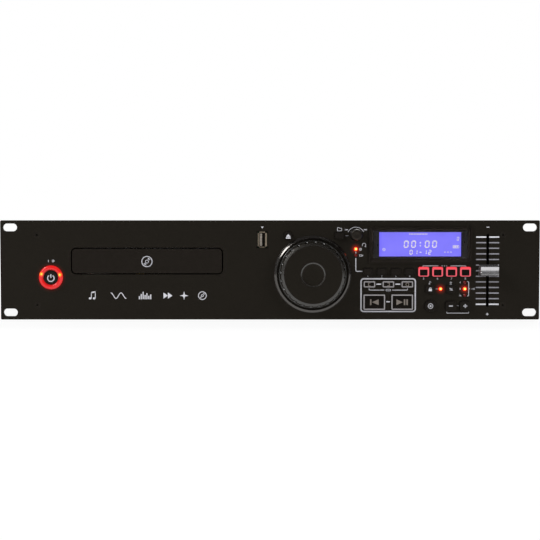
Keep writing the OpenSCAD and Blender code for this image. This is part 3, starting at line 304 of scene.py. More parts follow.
def panel_paint():
    """Satin paint with a painted red glow about the lit lamps and the power ring, standing in for their
    spill light.
    """
    s = finish("satin_panel_paint", PANEL_BLACK, 0.46, scale=2400, height=6, **SATIN)
    # Painted spill light: the paint emits red near the lamps and the ring
    lamps = s.fade(s.nearest(LIT_LAMPS), *LAMP_SPILL, SPILL_POWER)
    ring = s.fade(s.away(*centre("power_light_ring")), *RING_SPILL, SPILL_POWER)
    s.glow(SPILL_RED, s.calc("ADD", s.times(lamps, LAMP_SPILL_LEVEL), s.times(ring, RING_SPILL_LEVEL)))
    return s


JOG_FLUTES = 24
JOG_FLUTE_R = 27.7
JOG_FLUTE_FOOT = -8.2
JOG_FLUTE_LIMIT = 0.35
JOG_EDGE = (25.8, 28.3)
JOG_DISH = (9.8, 10.95)


def jog_plastic():
    """Satin plastic with polished turned edges and flute ends, and painted shade down the flutes."""
    s = finish("jog_wheel_plastic", PANEL_BLACK, 0.44, scale=2300, height=10, coat_rough=0.24, **SATIN)
    x, z = centre("jog_wheel")
    radius = s.away(x, z)
    across = s.calc("SUBTRACT", s.axis("X"), x * MM)
    up = s.calc("SUBTRACT", s.axis("Z"), z * MM)
    wave = s.calc("SINE", s.times(s.calc("ARCTAN2", across, up), float(JOG_FLUTES)))
    flute = s.times(s.calc("GREATER_THAN", wave, JOG_FLUTE_LIMIT), s.over(radius, JOG_FLUTE_R))
    edge = s.times(s.within(radius, *JOG_EDGE), s.calc("SUBTRACT", 1.0, flute))
    foot = s.times(s.over(radius, JOG_EDGE[0]), s.over(s.axis("Y"), JOG_FLUTE_FOOT))
    polished = s.calc("MAXIMUM", s.calc("MAXIMUM", edge, foot), s.within(radius, *JOG_DISH))
    # Painted shade: the base colour turns near black down the flutes
    s.set("Base Color", s.blend(flute, s.base(), screen(7, 6, 5)))
    s.set("Coat Weight", polished)
    s.set("Coat IOR", 1.7)
    return s


def polished_bezel():
    s = finish("polished_bezel", screen(16, 14, 13), 0.14, scale=500, vary=0.2, rough_vary=0.03, height=1,
               tint=(1.0, 0.94, 0.88, 1.0))
    s.set("IOR", 1.85)
    return s


def ribbed_knob():
    return finish("ribbed_knob_plastic", screen(20, 18, 17), 0.34, scale=1900, height=10, specular=0.3,
                  tint=WARM)


PANEL_SCREWS = (208.6, 31.5)
SCREW_SOCKET_R = 1.4
SCREW_SOCKET_Y = (-2.9, 3.0)


def screw_black():
    """Blackened screws, with painted shade down the sockets of the panel screws."""
    s = finish("blackened_screw", screen(21, 19, 17), 0.4, scale=1800, specular=0.2, tint=WARM)
    x = s.calc("SUBTRACT", s.calc("ABSOLUTE", s.axis("X")), PANEL_SCREWS[0] * MM)
    z = s.calc("SUBTRACT", s.calc("ABSOLUTE", s.axis("Z")), PANEL_SCREWS[1] * MM)
    off_axis = s.calc("SQRT", s.calc("ADD", s.times(x, x), s.times(z, z)))
    socket = s.times(s.under(off_axis, SCREW_SOCKET_R), s.between("Y", *SCREW_SOCKET_Y))
    # Painted shade: the sockets of the panel screws turn near black
    s.set("Base Color", s.blend(socket, s.base(), screen(3, 3, 3)))
    return s


def clear_window():
    """Clear acrylic without reflections of its own."""
    s = Surface("clear_acrylic")
    s.set("Base Color", (0.93, 0.93, 0.95, 1.0))
    s.gloss(120.0, 0.015, 0.05)
    s.set("Transmission Weight", 1.0)
    s.set("IOR", 1.0)
    s.relief(90.0, 0.4)
    return s


LAMP_CORE = 0.2
LAMP_HALO = 1.4
LAMP_EDGE = 2.2
LAMP_LEVEL = 7.0
LAMP_HOT = (1.0, 0.4, 0.06, 1.0)
LAMP_RED = (1.0, 0.02, 0.008, 1.0)


def lamp_bodies():
    """Red lamps: three of the six glow, hottest in the middle."""
    s = Surface("red_lamps")
    s.set("Base Color", s.mottle(screen(96, 12, 8), 0.2, 900.0))
    s.gloss(700.0, 0.16, 0.28)
    s.relief(800.0, 4)
    near = s.nearest(LIT_LAMPS)
    color = s.blend(s.ramp(near, 0.0, 1.0, LAMP_CORE, LAMP_HALO), LAMP_HOT, LAMP_RED)
    s.glow(color, s.ramp(near, LAMP_LEVEL, 0.0, LAMP_CORE, LAMP_EDGE))
    return s


RING_SPOTS = ((-8.3, 3.1), (8.1, 2.4))
RING_SPOT_REACH = (0.3, 3.0)
RING_SPOT_POWER = 2.0
RING_SPOT_LEVEL = 1.7
RING_LEVEL = 0.5
RING_INNER = (6.6, 7.8)
RING_SPOT_COLOR = (1.0, 0.52, 0.03, 1.0)


def power_ring():
    """A red light guide with a hot spot over the lamp at each side."""
    s = Surface("red_light_guide")
    x, z = centre("power_light_ring")
    s.set("Base Color", s.mottle(screen(150, 20, 14), 0.15, 600.0))
    s.gloss(500.0, 0.12, 0.24)
    s.relief(600.0, 4)
    near = s.nearest([(x + dx, z + dz) for dx, dz in RING_SPOTS])
    hot = s.fade(near, *RING_SPOT_REACH, RING_SPOT_POWER)
    lit = s.ramp(s.away(x, z), 0.05, 1.0, *RING_INNER)
    level = s.calc("ADD", s.times(hot, RING_SPOT_LEVEL), RING_LEVEL)
    s.glow(s.blend(hot, screen(246, 30, 38), RING_SPOT_COLOR), s.times(level, lit))
    return s


EFFECT_UPPER = (1.8, 4.1)
EFFECT_PROUD = 0.1
EFFECT_LEVEL = (0.84, 1.0)


def effect_keys():
    """Red keys lit from within, deepest along the upper edge."""
    s = Surface("lit_red_key", coat=0.15)
    _, z = centre("search_key")
    s.set("Base Color", s.mottle(screen(110, 30, 34), 0.12, 900.0))
    s.gloss(900.0, 0.3, 0.42)
    s.relief(2000.0, 6)
    upper = s.ramp(s.axis("Z"), 0.0, 1.0, z + EFFECT_UPPER[0], z + EFFECT_UPPER[1])
    proud = s.under(s.axis("Y"), front("front_panel") - EFFECT_PROUD)
    level = s.times(proud, s.span(upper, *EFFECT_LEVEL, 0.0, 1.0))
    s.glow(s.blend(upper, screen(236, 92, 106), screen(255, 34, 52)), level)
    return s


USB_TONGUE_X = (-2.2, -0.2)
USB_TONGUE_Y = (-1.2, 9.0)
USB_SHADE_Y = (-2.4, -1.4)
# In radians to the metre, for contacts about 2.5 mm apart
USB_CONTACT_WAVE = 2513.0
USB_CONTACT_LIMIT = 0.2


def usb_metal():
    """A warm plated shell with painted shade inside, a pale tongue and its contacts."""
    s = Surface("socket_shell")
    x, _ = centre("usb_socket")
    across = s.between("X", x + USB_TONGUE_X[0], x + USB_TONGUE_X[1])
    tongue = s.times(across, s.between("Y", *USB_TONGUE_Y))
    # Painted shade: the shell turns dark further into the socket
    deep_shade = s.ramp(s.axis("Y"), 0.0, 1.0, *USB_SHADE_Y)
    metal = s.blend(deep_shade, s.mottle(screen(138, 126, 110), 0.1, 900.0), screen(34, 29, 23))
    wave = s.calc("SINE", s.times(s.axis("Z"), USB_CONTACT_WAVE))
    strips = s.calc("GREATER_THAN", wave, USB_CONTACT_LIMIT)
    plastic = s.blend(strips, screen(160, 152, 142), screen(140, 131, 120))
    s.set("Base Color", s.blend(tongue, metal, plastic))
    s.set("Metallic", s.span(tongue, 0.8, 0.0, 0.0, 1.0))
    s.gloss(600.0, 0.24, 0.4)
    s.relief(1500.0, 4)
    return s


JACK_INSET = 5.1
JACK_MIDDLE_X = 28.0
JACK_INSULATOR_R = 3.1
RED_JACK_X = (20.0, 40.0)
DARK_JACK_X = (44.0, 70.0)


def jack_metal():
    """Plated sockets with a coloured insulator inside each rim."""
    s = Surface("plated_jack")
    low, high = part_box("audio_jacks")
    _, z = centre("audio_jacks")
    places = (low.x / MM + JACK_INSET, JACK_MIDDLE_X, high.x / MM - JACK_INSET)
    inner = s.under(s.nearest([(x, z) for x in places]), JACK_INSULATOR_R)
    tint = s.blend(s.between("X", *RED_JACK_X), screen(225, 222, 214), screen(176, 26, 24))
    tint = s.blend(s.between("X", *DARK_JACK_X), tint, screen(28, 28, 30))
    s.set("Base Color", s.blend(inner, s.mottle(screen(206, 186, 130), 0.08, 800.0), tint))
    s.set("Metallic", s.span(inner, 1.0, 0.0, 0.0, 1.0))
    s.gloss(600.0, 0.22, 0.36)
    s.relief(1200.0, 3)
    return s


INLET_PINS = ((-7.0, -2.0), (7.0, -2.0), (0.0, 2.0))
PIN_HALF_W = 1.1
PIN_HALF_H = 2.1
PIN_DEPTH = (21.0, 5.0)


def inlet_body():
    """A black moulded inlet whose three pins are bare metal."""
    s = Surface("mains_inlet_body")
    x, z = centre("mains_inlet")
    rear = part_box("mains_inlet")[1].y / MM
    pins = 0.0
    for dx, dz in INLET_PINS:
        across = s.between("X", x + dx - PIN_HALF_W, x + dx + PIN_HALF_W)
        pin = s.times(across, s.between("Z", z + dz - PIN_HALF_H, z + dz + PIN_HALF_H))
        pins = s.calc("MAXIMUM", pins, pin)
    pins = s.times(pins, s.between("Y", rear - PIN_DEPTH[0], rear - PIN_DEPTH[1]))
    s.set("Base Color", s.blend(pins, s.mottle(screen(24, 24, 25), 0.15, 600.0), screen(196, 194, 188)))
    s.set("Metallic", pins)
    s.gloss(900.0, 0.4, 0.54)
    s.relief(2000.0, 10)
    return s


BOARD_T = 1.7
TRACK_SCALE = 90.0
TRACK_W = 0.012


def filled_board(name, node, mask, parts):
    """A circuit board with tracks, and parts of another colour above its face."""
    s = Surface(name, coat=0.2)
    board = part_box(node)[0].z / MM
    above = s.over(s.axis("Z"), board + BOARD_T)
    tracks = s.add("ShaderNodeTexBrick")
    for socket, value in (("Scale", TRACK_SCALE), ("Mortar Size", TRACK_W), ("Color1", mask),
                          ("Color2", scaled(mask, 0.86)), ("Mortar", scaled(mask, 1.7)),
                          ("Vector", s.place)):
        s.put(tracks.inputs[socket], value)
    s.set("Base Color", s.blend(above, tracks.outputs["Color"], s.mottle(parts, 0.25, 160.0)))
    s.gloss(500.0, 0.34, 0.5)
    s.relief(1500.0, 8)
    return s


LENS_RISE = 0.75


def pickup_body():
    """A dark die-cast sled with a blue-violet lens."""
    s = Surface("pickup_sled")
    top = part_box("optical_pickup")[1].z / MM
    lens = s.over(s.axis("Z"), top - LENS_RISE)
    s.set("Base Color", s.blend(lens, s.mottle(screen(70, 72, 76), 0.12, 700.0), screen(46, 40, 96)))
    s.set("Metallic", s.span(lens, 0.6, 0.0, 0.0, 1.0))
    s.set("Roughness", s.span(lens, 0.45, 0.08, 0.0, 1.0))
    s.relief(1500.0, 10)
    return s


def lcd_glass():
    """The dark-edged glass that carries the lit field."""
    s = Surface("display_glass", coat=0.4)
    s.set("Base Color", s.mottle(screen(22, 22, 26), 0.2, 300.0))
    s.gloss(300.0, 0.12, 0.24)
    s.relief(400.0, 2)
    return s


EFFECT_KEYS = ("search_key", "scratch_key", "reverse_key", "brake_key")
SPECIAL = {
    "case_screws": screw_black(),
    "track_knob": ribbed_knob(),
    "front_panel": panel_paint(),
    "jog_wheel": jog_plastic(),
    "jog_bezel": polished_bezel(),
    "display_window": clear_window(),
    "indicator_leds": lamp_bodies(),
    "power_light_ring": power_ring(),
    "usb_socket": usb_metal(),
    "audio_jacks": jack_metal(),
    "mains_inlet": inlet_body(),
    "main_board": filled_board("main_circuit_board", "main_board", screen(26, 84, 46), screen(30, 30, 32)),
    "power_supply": filled_board("supply_board", "power_supply", screen(150, 112, 58), screen(58, 50, 44)),
    "optical_pickup": pickup_body(),
    "lcd_module": lcd_glass(),
}
SPECIAL.update(dict.fromkeys(EFFECT_KEYS, effect_keys()))

for name, node in NODES.items():
    surface = SPECIAL.get(name) or FINISHES[SLOT_OF[name]]
    node.data.materials.clear()
    node.data.materials.append(surface.mat)

NODES["display_window"].visible_shadow = False

# Softened edges, with their widths in mm

WELD_REACH = 2 * UM
SHARP_DEGREES = 38
KEY_EDGE = 0.35
EDGES = {
    "front_panel": 0.35,
    "tray_door": 0.4,
    "display_frame": 0.3,
    "fader_cap": 0.2,
    "track_knob": 0.25,
    "jog_wheel": 0.2,
}


def soften(node, width):
    """Rounds the sharp edges of a solid by a width in mm."""
    weld = NODES[node].modifiers.new("weld", "WELD")
    weld.merge_threshold = WELD_REACH
    bevel = NODES[node].modifiers.new("edge", "BEVEL")
    bevel.width = width * MM
    bevel.segments = 2
    bevel.limit_method = "ANGLE"
    bevel.angle_limit = math.radians(SHARP_DEGREES)
    flat = NODES[node].modifiers.new("flat_faces", "WEIGHTED_NORMAL")
    flat.keep_sharp = False


for name in NODES:
    if name.endswith("_key"):
        soften(name, KEY_EDGE)
for name, width in EDGES.items():
    soften(name, width)


# Outlines and strokes of flat marks, in mm

def arc(x, z, radius, start, end, steps=24):
    """Points of an arc between two angles in degrees."""
    turns = [math.radians(start + (end - start) * i / steps) for i in range(steps + 1)]
    return [(x + radius * math.cos(t), z + radius * math.sin(t)) for t in turns]


def circle(x, z, radius, steps=40):
    return arc(x, z, radius, 0, 360 - 360 / steps, steps - 1)


def oval(x, z, half_w, half_h, steps=16):
    turns = [2 * math.pi * i / steps for i in range(steps)]
    return [(x + half_w * math.cos(t), z + half_h * math.sin(t)) for t in turns]


def rounded(x, z, w, h, r, steps=6):
    """Outline of a rectangle with round corners about a middle."""
    points = []
    for sx, sz, turn in ((1, 1, 0), (-1, 1, 90), (-1, -1, 180), (1, -1, 270)):
        points += arc(x + sx * (w / 2 - r), z + sz * (h / 2 - r), r, turn, turn + 90, steps)
    return points


# How far the middle of a rounded corner moves towards the sharp one
CORNER_PULL = 0.55


def corner_path(points, r):
    """A path whose inner corners are rounded with radius r."""
    path = [points[0]]
    for before, here, after in zip(points, points[1:], points[2:]):
        ends = []
        for end in (before, after):
            share = r / math.dist(here, end)
            ends.append((here[0] + (end[0] - here[0]) * share, here[1] + (end[1] - here[1]) * share))
        middle = [(ends[0][i] + ends[1][i]) / 2 * (1 - CORNER_PULL) + here[i] * CORNER_PULL for i in (0, 1)]
        path += [ends[0], tuple(middle), ends[1]]
    path.append(points[-1])
    return path


# The least cosine of half a bend, which keeps a stroke's sharp corners short
LEAST_COSINE = 0.3


def sides(points, width):
    """The two edges of a stroke of that width along a path."""
    left, right = [], []
    last = len(points) - 1
    for i, (x, z) in enumerate(points):
        ax, az = points[max(i - 1, 0)]
        bx, bz = points[min(i + 1, last)]
        d1 = Vector((x - ax, z - az)) if i else Vector((bx - x, bz - z))
        d2 = Vector((bx - x, bz - z)) if i < last else d1
        d1.normalize()
        d2.normalize()
        along = (d1 + d2).normalized()
        reach = width / 2 / max(LEAST_COSINE, along.dot(d2))
        left.append((x - along.y * reach, z + along.x * reach))
        right.append((x + along.y * reach, z - along.x * reach))
    return left, right


# Height of a figure in the built-in font, as a share of its size
FIGURE_SHARE = 0.69
MERGE_REACH = 0.0005


class Marks:
    """Thin raised shapes gathered in the X-Z plane, in mm."""

    def __init__(self, up=0.05, sunk=0.03):
        self.bm = bmesh.new()
        self.up = up
        self.sunk = sunk

    def layer(self, points):
        return ([self.bm.verts.new((x, -self.up, z)) for x, z in points],
                [self.bm.verts.new((x, self.sunk, z)) for x, z in points])

    def wall(self, top, bottom):
        for i in range(len(top)):
            self.bm.faces.new((top[i - 1], top[i], bottom[i], bottom[i - 1]))

    def area(self, points):
        """A filled outline."""
        top, bottom = self.layer(points)
        self.bm.faces.new(top)
        self.bm.faces.new(bottom[::-1])
        self.wall(top, bottom)

    def band(self, outer, inner):
        """The strip between two outlines of as many points."""
        ot, ob = self.layer(outer)
        it, ib = self.layer(inner)
        for i in range(len(ot)):
            self.bm.faces.new((ot[i - 1], ot[i], it[i], it[i - 1]))
            self.bm.faces.new((ob[i - 1], ob[i], ib[i], ib[i - 1]))
        self.wall(ot, ob)
        self.wall(it, ib)

    def line(self, points, width):
        left, right = sides(points, width)
        self.area(left + right[::-1])

    def ring(self, x, z, radius, width, steps=40):
        self.band(circle(x, z, radius + width / 2, steps), circle(x, z, radius - width / 2, steps))

    def disc(self, x, z, radius, steps=24):
        self.area(circle(x, z, radius, steps))

    def bar(self, x, z, w, h):
        left, right = x - w / 2, x + w / 2
        foot, top = z - h / 2, z + h / 2
        self.area([(left, foot), (right, foot), (right, top), (left, top)])

    def frame(self, x, z, w, h, r, width):
        """A rounded frame whose outer size is w by h."""
        inner = rounded(x, z, w - 2 * width, h - 2 * width, max(0.1, r - width))
        self.band(rounded(x, z, w, h, r), inner)

    def triangle(self, x, z, w, h):
        """A triangle that points to the right, or to the left where w is negative."""
        self.area([(x - w / 2, z - h / 2), (x + w / 2, z), (x - w / 2, z + h / 2)])

    def figures(self, text, x, z, height):
        """Plain figures about a middle, as tall as height."""
        curve = bpy.data.curves.new("figures", "FONT")
        curve.body = text
        curve.size = height / FIGURE_SHARE
        curve.extrude = (self.up + self.sunk) / 2
        curve.align_x = "CENTER"
        holder = bpy.data.objects.new("figures", curve)
        mesh = bpy.data.meshes.new_from_object(holder)
        place = Matrix.Translation((x, (self.sunk - self.up) / 2, z - height / 2))
        mesh.transform(place @ Matrix.Rotation(math.pi / 2, 4, "X"))
        self.bm.from_mesh(mesh)
        bpy.data.objects.remove(holder)
        bpy.data.curves.remove(curve)
        bpy.data.meshes.remove(mesh)

    def piece(self, name, face, body, surface):
        """Lays the marks on a face at that Y, in mm, as a piece that rides on the body."""
        bmesh.ops.remove_doubles(self.bm, verts=self.bm.verts, dist=MERGE_REACH)
        bmesh.ops.recalc_face_normals(self.bm, faces=self.bm.faces)
        self.bm.transform(Matrix.Scale(MM, 4) @ Matrix.Translation((0, face, 0)))
        mesh = bpy.data.meshes.new(name)
        self.bm.to_mesh(mesh)
        self.bm.free()
        obj = bpy.data.objects.new(name, mesh)
        bpy.context.scene.collection.objects.link(obj)
        mesh.materials.append(surface.mat)
        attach(obj, body)


ink = finish("pale_grey_ink", screen(178, 178, 184), 0.55, scale=3000, vary=0.06)
ink_bright = finish("white_ink", screen(202, 202, 208), 0.55, scale=3000, vary=0.05)
ink_dim = finish("grey_ink", screen(134, 133, 140), 0.55, scale=3000, vary=0.08)
ink_rim = finish("key_rim_ink", screen(142, 139, 140), 0.5, scale=3000, vary=0.08)
ink_brown = finish("brown_grey_ink", screen(112, 104, 97), 0.55, scale=3000, vary=0.08)


# Marks printed on the panel

PANEL = front("front_panel")


def power_marks(m):
    """The signs for on and off above the power key."""
    x, _ = centre("power_key")
    z = 8.1
    m.bar(x - 2.2, z, 0.55, 2.0)
    m.ring(x + 2.0, z, 0.85, 0.5, 24)


def usb_mark(m):
    """An arrow that points down to the socket."""
    x, _ = centre("usb_socket")
    half, tip, top = 1.3, 37.0, 38.9
    m.area([(x - half, top), (x, tip), (x + half, top)])


def folder_mark(m):
    """A folder above its key."""
    x, _ = centre("folder_key")
    left, right = x - 1.9, x + 1.9
    foot, top, tab = 35.1, 37.4, 38.0
    m.line(corner_path([(left, foot), (left, tab), (x - 0.6, tab), (x, top), (right, top), (right, foot),
                        (left, foot)], 0.3), 0.46)


def knob_marks(m):
    """An arc over the track knob with a skip sign at each end."""
    x, z = centre("track_knob")
    m.line(arc(x, z - 1.1, 7.75, 26, 154, 30), 0.5)
    skip_z, tall = 36.1, 1.4
    for side in (-1, 1):
        m.triangle(x + side * 7.7, skip_z, side * 1.2, tall)
        m.triangle(x + side * 8.8, skip_z, side * 1.2, tall)
        m.bar(x + side * 9.6, skip_z, 0.4, tall)


def source_marks(m):
    """A return arrow, a disc and a stick beside the source lamps, and their line to the source key."""
    x, _ = centre("track_knob")
    m.line(arc(x + 7.3, 22.5, 1.5, -40, 220, 20), 0.5)
    m.triangle(x + 8.4, 21.2, -1.5, 1.5)
    disc_z, stick_z = 18.5, 13.0
    m.ring(x + 4.2, disc_z, 0.95, 0.45, 24)
    m.disc(x + 4.2, disc_z, 0.35, 12)
    m.frame(x + 4.3, stick_z, 2.6, 1.7, 0.3, 0.4)
    m.bar(x + 6.1, stick_z, 0.7, 1.0)
    m.line([(x, 16.3), (x, 14.9)], 0.65)
    key_side, key_z = centre("source_key")[0] - 4.9, -1.2
    m.line(corner_path([(x, 10.7), (x, key_z), (key_side, key_z)], 1.4), 0.78)


def transport_marks(m):
    """The frame about the transport keys and the bracket under the loop keys."""
    m.frame(105.9, -22.55, 49.8, 30.5, 2.9, 1.2)
    x, z, tip = 106.0, -18.0, -16.5
    for side in (-1, 1):
        outer, inner = x + side * 17.2, x + side * 3.6
        m.line(corner_path([(outer, tip), (outer, z), (inner, z)], 0.8), 0.65)
    m.frame(x, z, 4.6, 1.8, 0.85, 0.4)


def effect_marks(m):
    """The bracket over the effect keys, with three dots in its middle."""
    x, z, tip = 156.1, 3.7, 2.9
    for side in (-1, 1):
        m.line(corner_path([(x + side * 19.5, tip), (x + side * 19.0, z), (x + side * 5.4, z)], 0.4), 0.52)
    for place in (-1, 0, 1):
        m.disc(x + place * 2.0, z, 0.42, 14)


def key_figures(m):
    """Figures under the row of keys, lower under the larger effect keys."""
    plain = ("source_key", "time_key", "single_key", "program_key")
    for i, key in enumerate(plain + EFFECT_KEYS):
        m.figures(str(i + 1), centre(key)[0], -5.6 if key in plain else -7.6, 1.85)


def tempo_marks(m):
    """A note over the lock key and a plus-minus sign over the range key."""
    x, _ = centre("lock_key")
    head_z = -12.4
    m.disc(x - 0.7, head_z, 0.55, 16)
    m.line([(x - 0.25, head_z), (x - 0.25, -10.4), (x + 0.9, -10.9)], 0.4)
    x, _ = centre("range_key")
    plus_z, size, stroke = -11.2, 1.9, 0.42
    m.bar(x, plus_z, size, stroke)
    m.bar(x, plus_z, stroke, size)
    m.bar(x, plus_z - 1.5, size, stroke)


def range_marks(m):
    """Figures beside the range lamps, and a bracket from them to the widest range."""
    middle = -16.9
    for text, z in (("4", -11.1), ("8", middle), ("16", -22.8)):
        m.figures(text, 170.3, z, 1.7)
    x, tip, top, foot = 178.0, 176.6, -10.4, -23.3
    m.line(corner_path([(tip, top), (x, top), (x, foot), (tip, foot)], 0.9), 0.6)
    m.line([(x, middle), (x + 1.2, middle)], 0.6)
    m.figures("100", 181.9, middle, 1.5)


def bend_mark(m):
    """The bracket under the bend keys."""
    left, right, tip, z = 158.6, 178.2, -37.6, -38.7
    m.line(corner_path([(left, tip), (left, z), (right, z), (right, tip)], 0.5), 0.55)


FADER_X = 194.8
SCALE_X = (188.9, 200.5)
SCALE_TOP = 29.5
SCALE_STEP = 5.02
SCALE_LAST = 12
TICK_W = 9.0


def ticks(m, rows, height):
    """Rows of the fader's scale, with a tick at each side of the slot."""
    for row in rows:
        for x in SCALE_X:
            m.bar(x, SCALE_TOP - SCALE_STEP * row, TICK_W, height)


def bright_marks(m):
    """Dashes between the transport keys, the signs at the fader's ends and its outer ticks."""
    for x in (97.45, 114.55):
        m.bar(x, -12.7, 4.4, 1.0)
    m.bar(105.95, -28.5, 3.4, 1.0)
    minus_z, plus_z, stroke = 38.3, -39.6, 0.65
    m.bar(FADER_X, minus_z, 2.4, stroke)
    m.bar(FADER_X, plus_z, 2.2, stroke)
    m.bar(FADER_X, plus_z, stroke, 2.2)
    ticks(m, (0, SCALE_LAST), 1.25)


def dim_marks(m):
    """The inner ticks, and dashes beside the folder and lock keys and between the bend keys."""
    ticks(m, range(1, SCALE_LAST), 1.05)
    m.bar(68.7, 30.7, 3.0, 0.5)
    m.bar(149.4, -17.0, 2.2, 0.55)
    m.bar(168.4, -32.0, 1.8, 0.6)


# Small pictures under the tray

def note_picture(m, x, z):
    for head in (-1.6, 1.9):
        m.area(oval(x + head, z - 2.4, 1.25, 0.95))
    m.bar(x - 0.6, z + 0.2, 0.6, 5.4)
    m.bar(x + 2.9, z + 0.7, 0.6, 6.4)
    left, right, thick = x - 0.9, x + 3.2, 1.2
    m.area([(left, z + 2.0), (right, z + 3.0), (right, z + 3.0 + thick), (left, z + 2.0 + thick)])


def wave_picture(m, x, z):
    m.line([(x + t * 0.5, z + 2.5 * math.sin(t * math.pi / 9)) for t in range(-14, 15)], 0.7)


def bars_picture(m, x, z):
    for i, tall in enumerate((2.6, 4.6, 6.6, 3.8, 5.4, 3.0, 4.2)):
        m.bar(x + (i - 3) * 1.7, z - 3.2 + tall / 2, 1.0, tall)


def skip_picture(m, x, z):
    m.triangle(x - 1.9, z, 4.0, 5.6)
    m.triangle(x + 2.1, z, 4.0, 5.6)


def star_picture(m, x, z):
    reach = (3.9, 1.1)
    turns = [(reach[k % 2], k * math.pi / 4) for k in range(8)]
    m.area([(x + r * math.cos(t), z + r * math.sin(t)) for r, t in turns])


def disc_picture(m, x, z):
    m.ring(x, z, 3.5, 0.6)
    m.ring(x, z, 1.0, 0.5, 24)
    for turn in (25, 205):
        m.line(arc(x, z, 2.3, turn, turn + 45, 8), 0.5)


PICTURE_Z = -23.0
PICTURES = (
    (-159.5, note_picture),
    (-135.8, wave_picture),
    (-112.0, bars_picture),
    (-91.6, skip_picture),
    (-77.0, star_picture),
    (-60.6, disc_picture),
)


def picture_row(m):
    for x, draw in PICTURES:
        draw(m, x, PICTURE_Z)


def printed(name, surface, *drawings):
    """One piece of print on the panel."""
    m = Marks()
    for draw in drawings:
        draw(m)
    m.piece(name, PANEL, "chassis", surface)


printed("panel_marks", ink, power_marks, usb_mark, folder_mark, knob_marks, source_marks, transport_marks,
        effect_marks, key_figures, tempo_marks, range_marks, bend_mark)
printed("bright_panel_marks", ink_bright, bright_marks)
printed("fader_scale", ink_dim, dim_marks)
printed("panel_pictures", ink_bright, picture_row)


# The disc sign on the tray door

def door_sign(m, x, z):
    m.ring(x, z, 4.6, 0.75, 56)
    m.ring(x, z, 1.35, 0.5, 30)
    for turn in (30, 210):
        m.line(arc(x, z, 3.2, turn, turn + 46, 10), 0.6)
        m.line(arc(x, z, 2.3, turn + 4, turn + 42, 8), 0.5)


door_marks = Marks()
door_sign(door_marks, -110.1, 7.6)
door_marks.piece("door_disc_sign", front("tray_door"), "tray", ink)


# Signs on the keys

def power_sign(m, x, z):
    z -= 0.7
    m.line(arc(x, z, 2.9, 124, 416, 36), 1.0)
    m.bar(x, z + 2.0, 1.05, 3.3)


def eject_sign(m, x, z):
    z -= 0.6
    m.area([(x - 2.1, z - 0.3), (x + 2.1, z - 0.3), (x, z + 2.0)])
    m.bar(x, z - 1.4, 4.2, 1.1)


def cue_sign(m, x, z):
    m.bar(x - 3.2, z, 1.3, 5.2)
    m.triangle(x + 0.9, z, -6.0, 5.2)


def play_sign(m, x, z):
    m.triangle(x - 2.4, z, 5.6, 5.2)
    m.bar(x + 2.1, z, 1.35, 5.2)
    m.bar(x + 4.4, z, 1.35, 5.2)


def lock_sign(m, x, z):
    m.bar(x, z - 0.7, 2.8, 1.9)
    m.line(arc(x, z + 0.45, 0.85, 0, 180, 12), 0.5)


def percent_sign(m, x, z):
    m.line([(x - 1.0, z - 1.1), (x + 1.0, z + 1.1)], 0.42)
    m.ring(x - 0.8, z + 0.65, 0.42, 0.4, 18)
    m.ring(x + 0.8, z - 0.65, 0.42, 0.4, 18)


def tap_sign(m, x, z):
    m.ring(x, z, 2.1, 0.6, 32)
    m.disc(x, z, 0.9)


def minus_sign(m, x, z):
    m.bar(x, z, 3.6, 1.0)


def plus_sign(m, x, z):
    m.bar(x, z, 3.4, 1.0)
    m.bar(x, z, 1.0, 3.4)


def hook(m, x, z, half_w):
    """A bracket open to the right, or to the left where half_w is negative."""
    half_h = 1.3
    m.line([(x + half_w, z + half_h), (x - half_w, z + half_h), (x - half_w, z - half_h),
            (x + half_w, z - half_h)], 0.6)


def loop_in_sign(m, x, z):
    hook(m, x, z, 0.9)


def loop_out_sign(m, x, z):
    hook(m, x, z, -0.9)


def reloop_sign(m, x, z):
    m.line(arc(x, z, 1.3, -30, 250, 24), 0.55)
    m.triangle(x + 0.6, z - 1.2, -1.5, 1.5)


SIGNS = (
    ("power_key", ink, power_sign, "key_black"),
    ("loop_in_key", ink_brown, loop_in_sign, "key_rimmed"),
    ("loop_out_key", ink_brown, loop_out_sign, "key_rimmed"),
    ("reloop_key", ink_brown, reloop_sign, "key_rimmed"),
    ("eject_key", ink_bright, eject_sign, "key_black"),
    ("cue_key", ink_brown, cue_sign, "key_rimmed"),
    ("play_key", ink_brown, play_sign, "key_rimmed"),
    ("lock_key", ink_bright, lock_sign, "key_black"),
    ("range_key", ink, percent_sign, "key_black"),
    ("tap_key", ink, tap_sign, "key_black"),
    ("bend_down_key", ink, minus_sign, "key_black"),
    ("bend_up_key", ink, plus_sign, "key_black"),
)
for key, surface, draw, slot in SIGNS:
    marks = Marks()
    draw(marks, *centre(key))
    marks.piece(key.replace("_key", "_sign"), front(key), BODY_OF[key], surface)

# Printed rims of the transport keys and dark faces of the effect keys

RIM_WIDTHS = {
    "loop_in_key": 0.95,
    "loop_out_key": 0.95,
    "reloop_key": 0.95,
    "cue_key": 1.05,
    "play_key": 1.05,
}
RIM_INSET = 2.35
RIM_CORNER = 0.9
RIM_SUNK = 0.2
for key, width in RIM_WIDTHS.items():
    x, z = centre(key)
    w, h = span_of(key)
    marks = Marks(sunk=RIM_SUNK)
    marks.frame(x, z, w - RIM_INSET, h - RIM_INSET, RIM_CORNER, width)
    marks.piece(key.replace("_key", "_rim"), front(key), BODY_OF[key], ink_rim)

FACE_W = 6.9
FACE_H = 5.5
FACE_CORNER = 0.6
FACE_DROP = 0.75
FACE_UP = 0.12
for key in EFFECT_KEYS:
    x, z = centre(key)
    marks = Marks(FACE_UP)
    marks.area(rounded(x, z - FACE_DROP, FACE_W, FACE_H, FACE_CORNER))
    marks.piece(key.replace("_key", "_face"), front(key), BODY_OF[key], FINISHES["key_rimmed"])

# The display

cx, cz = centre("display_window")
LCD_W = 73.7
LCD_H = 21.8
LCD_Y = 1.1
LCD_EDGE = 3
FIELD_UP = 0.06
MASK_W = 84.3
MASK_H = 24.3
MASK_GAP = 0.4
MASK_UP = 0.2
MASK_Y = -3.15


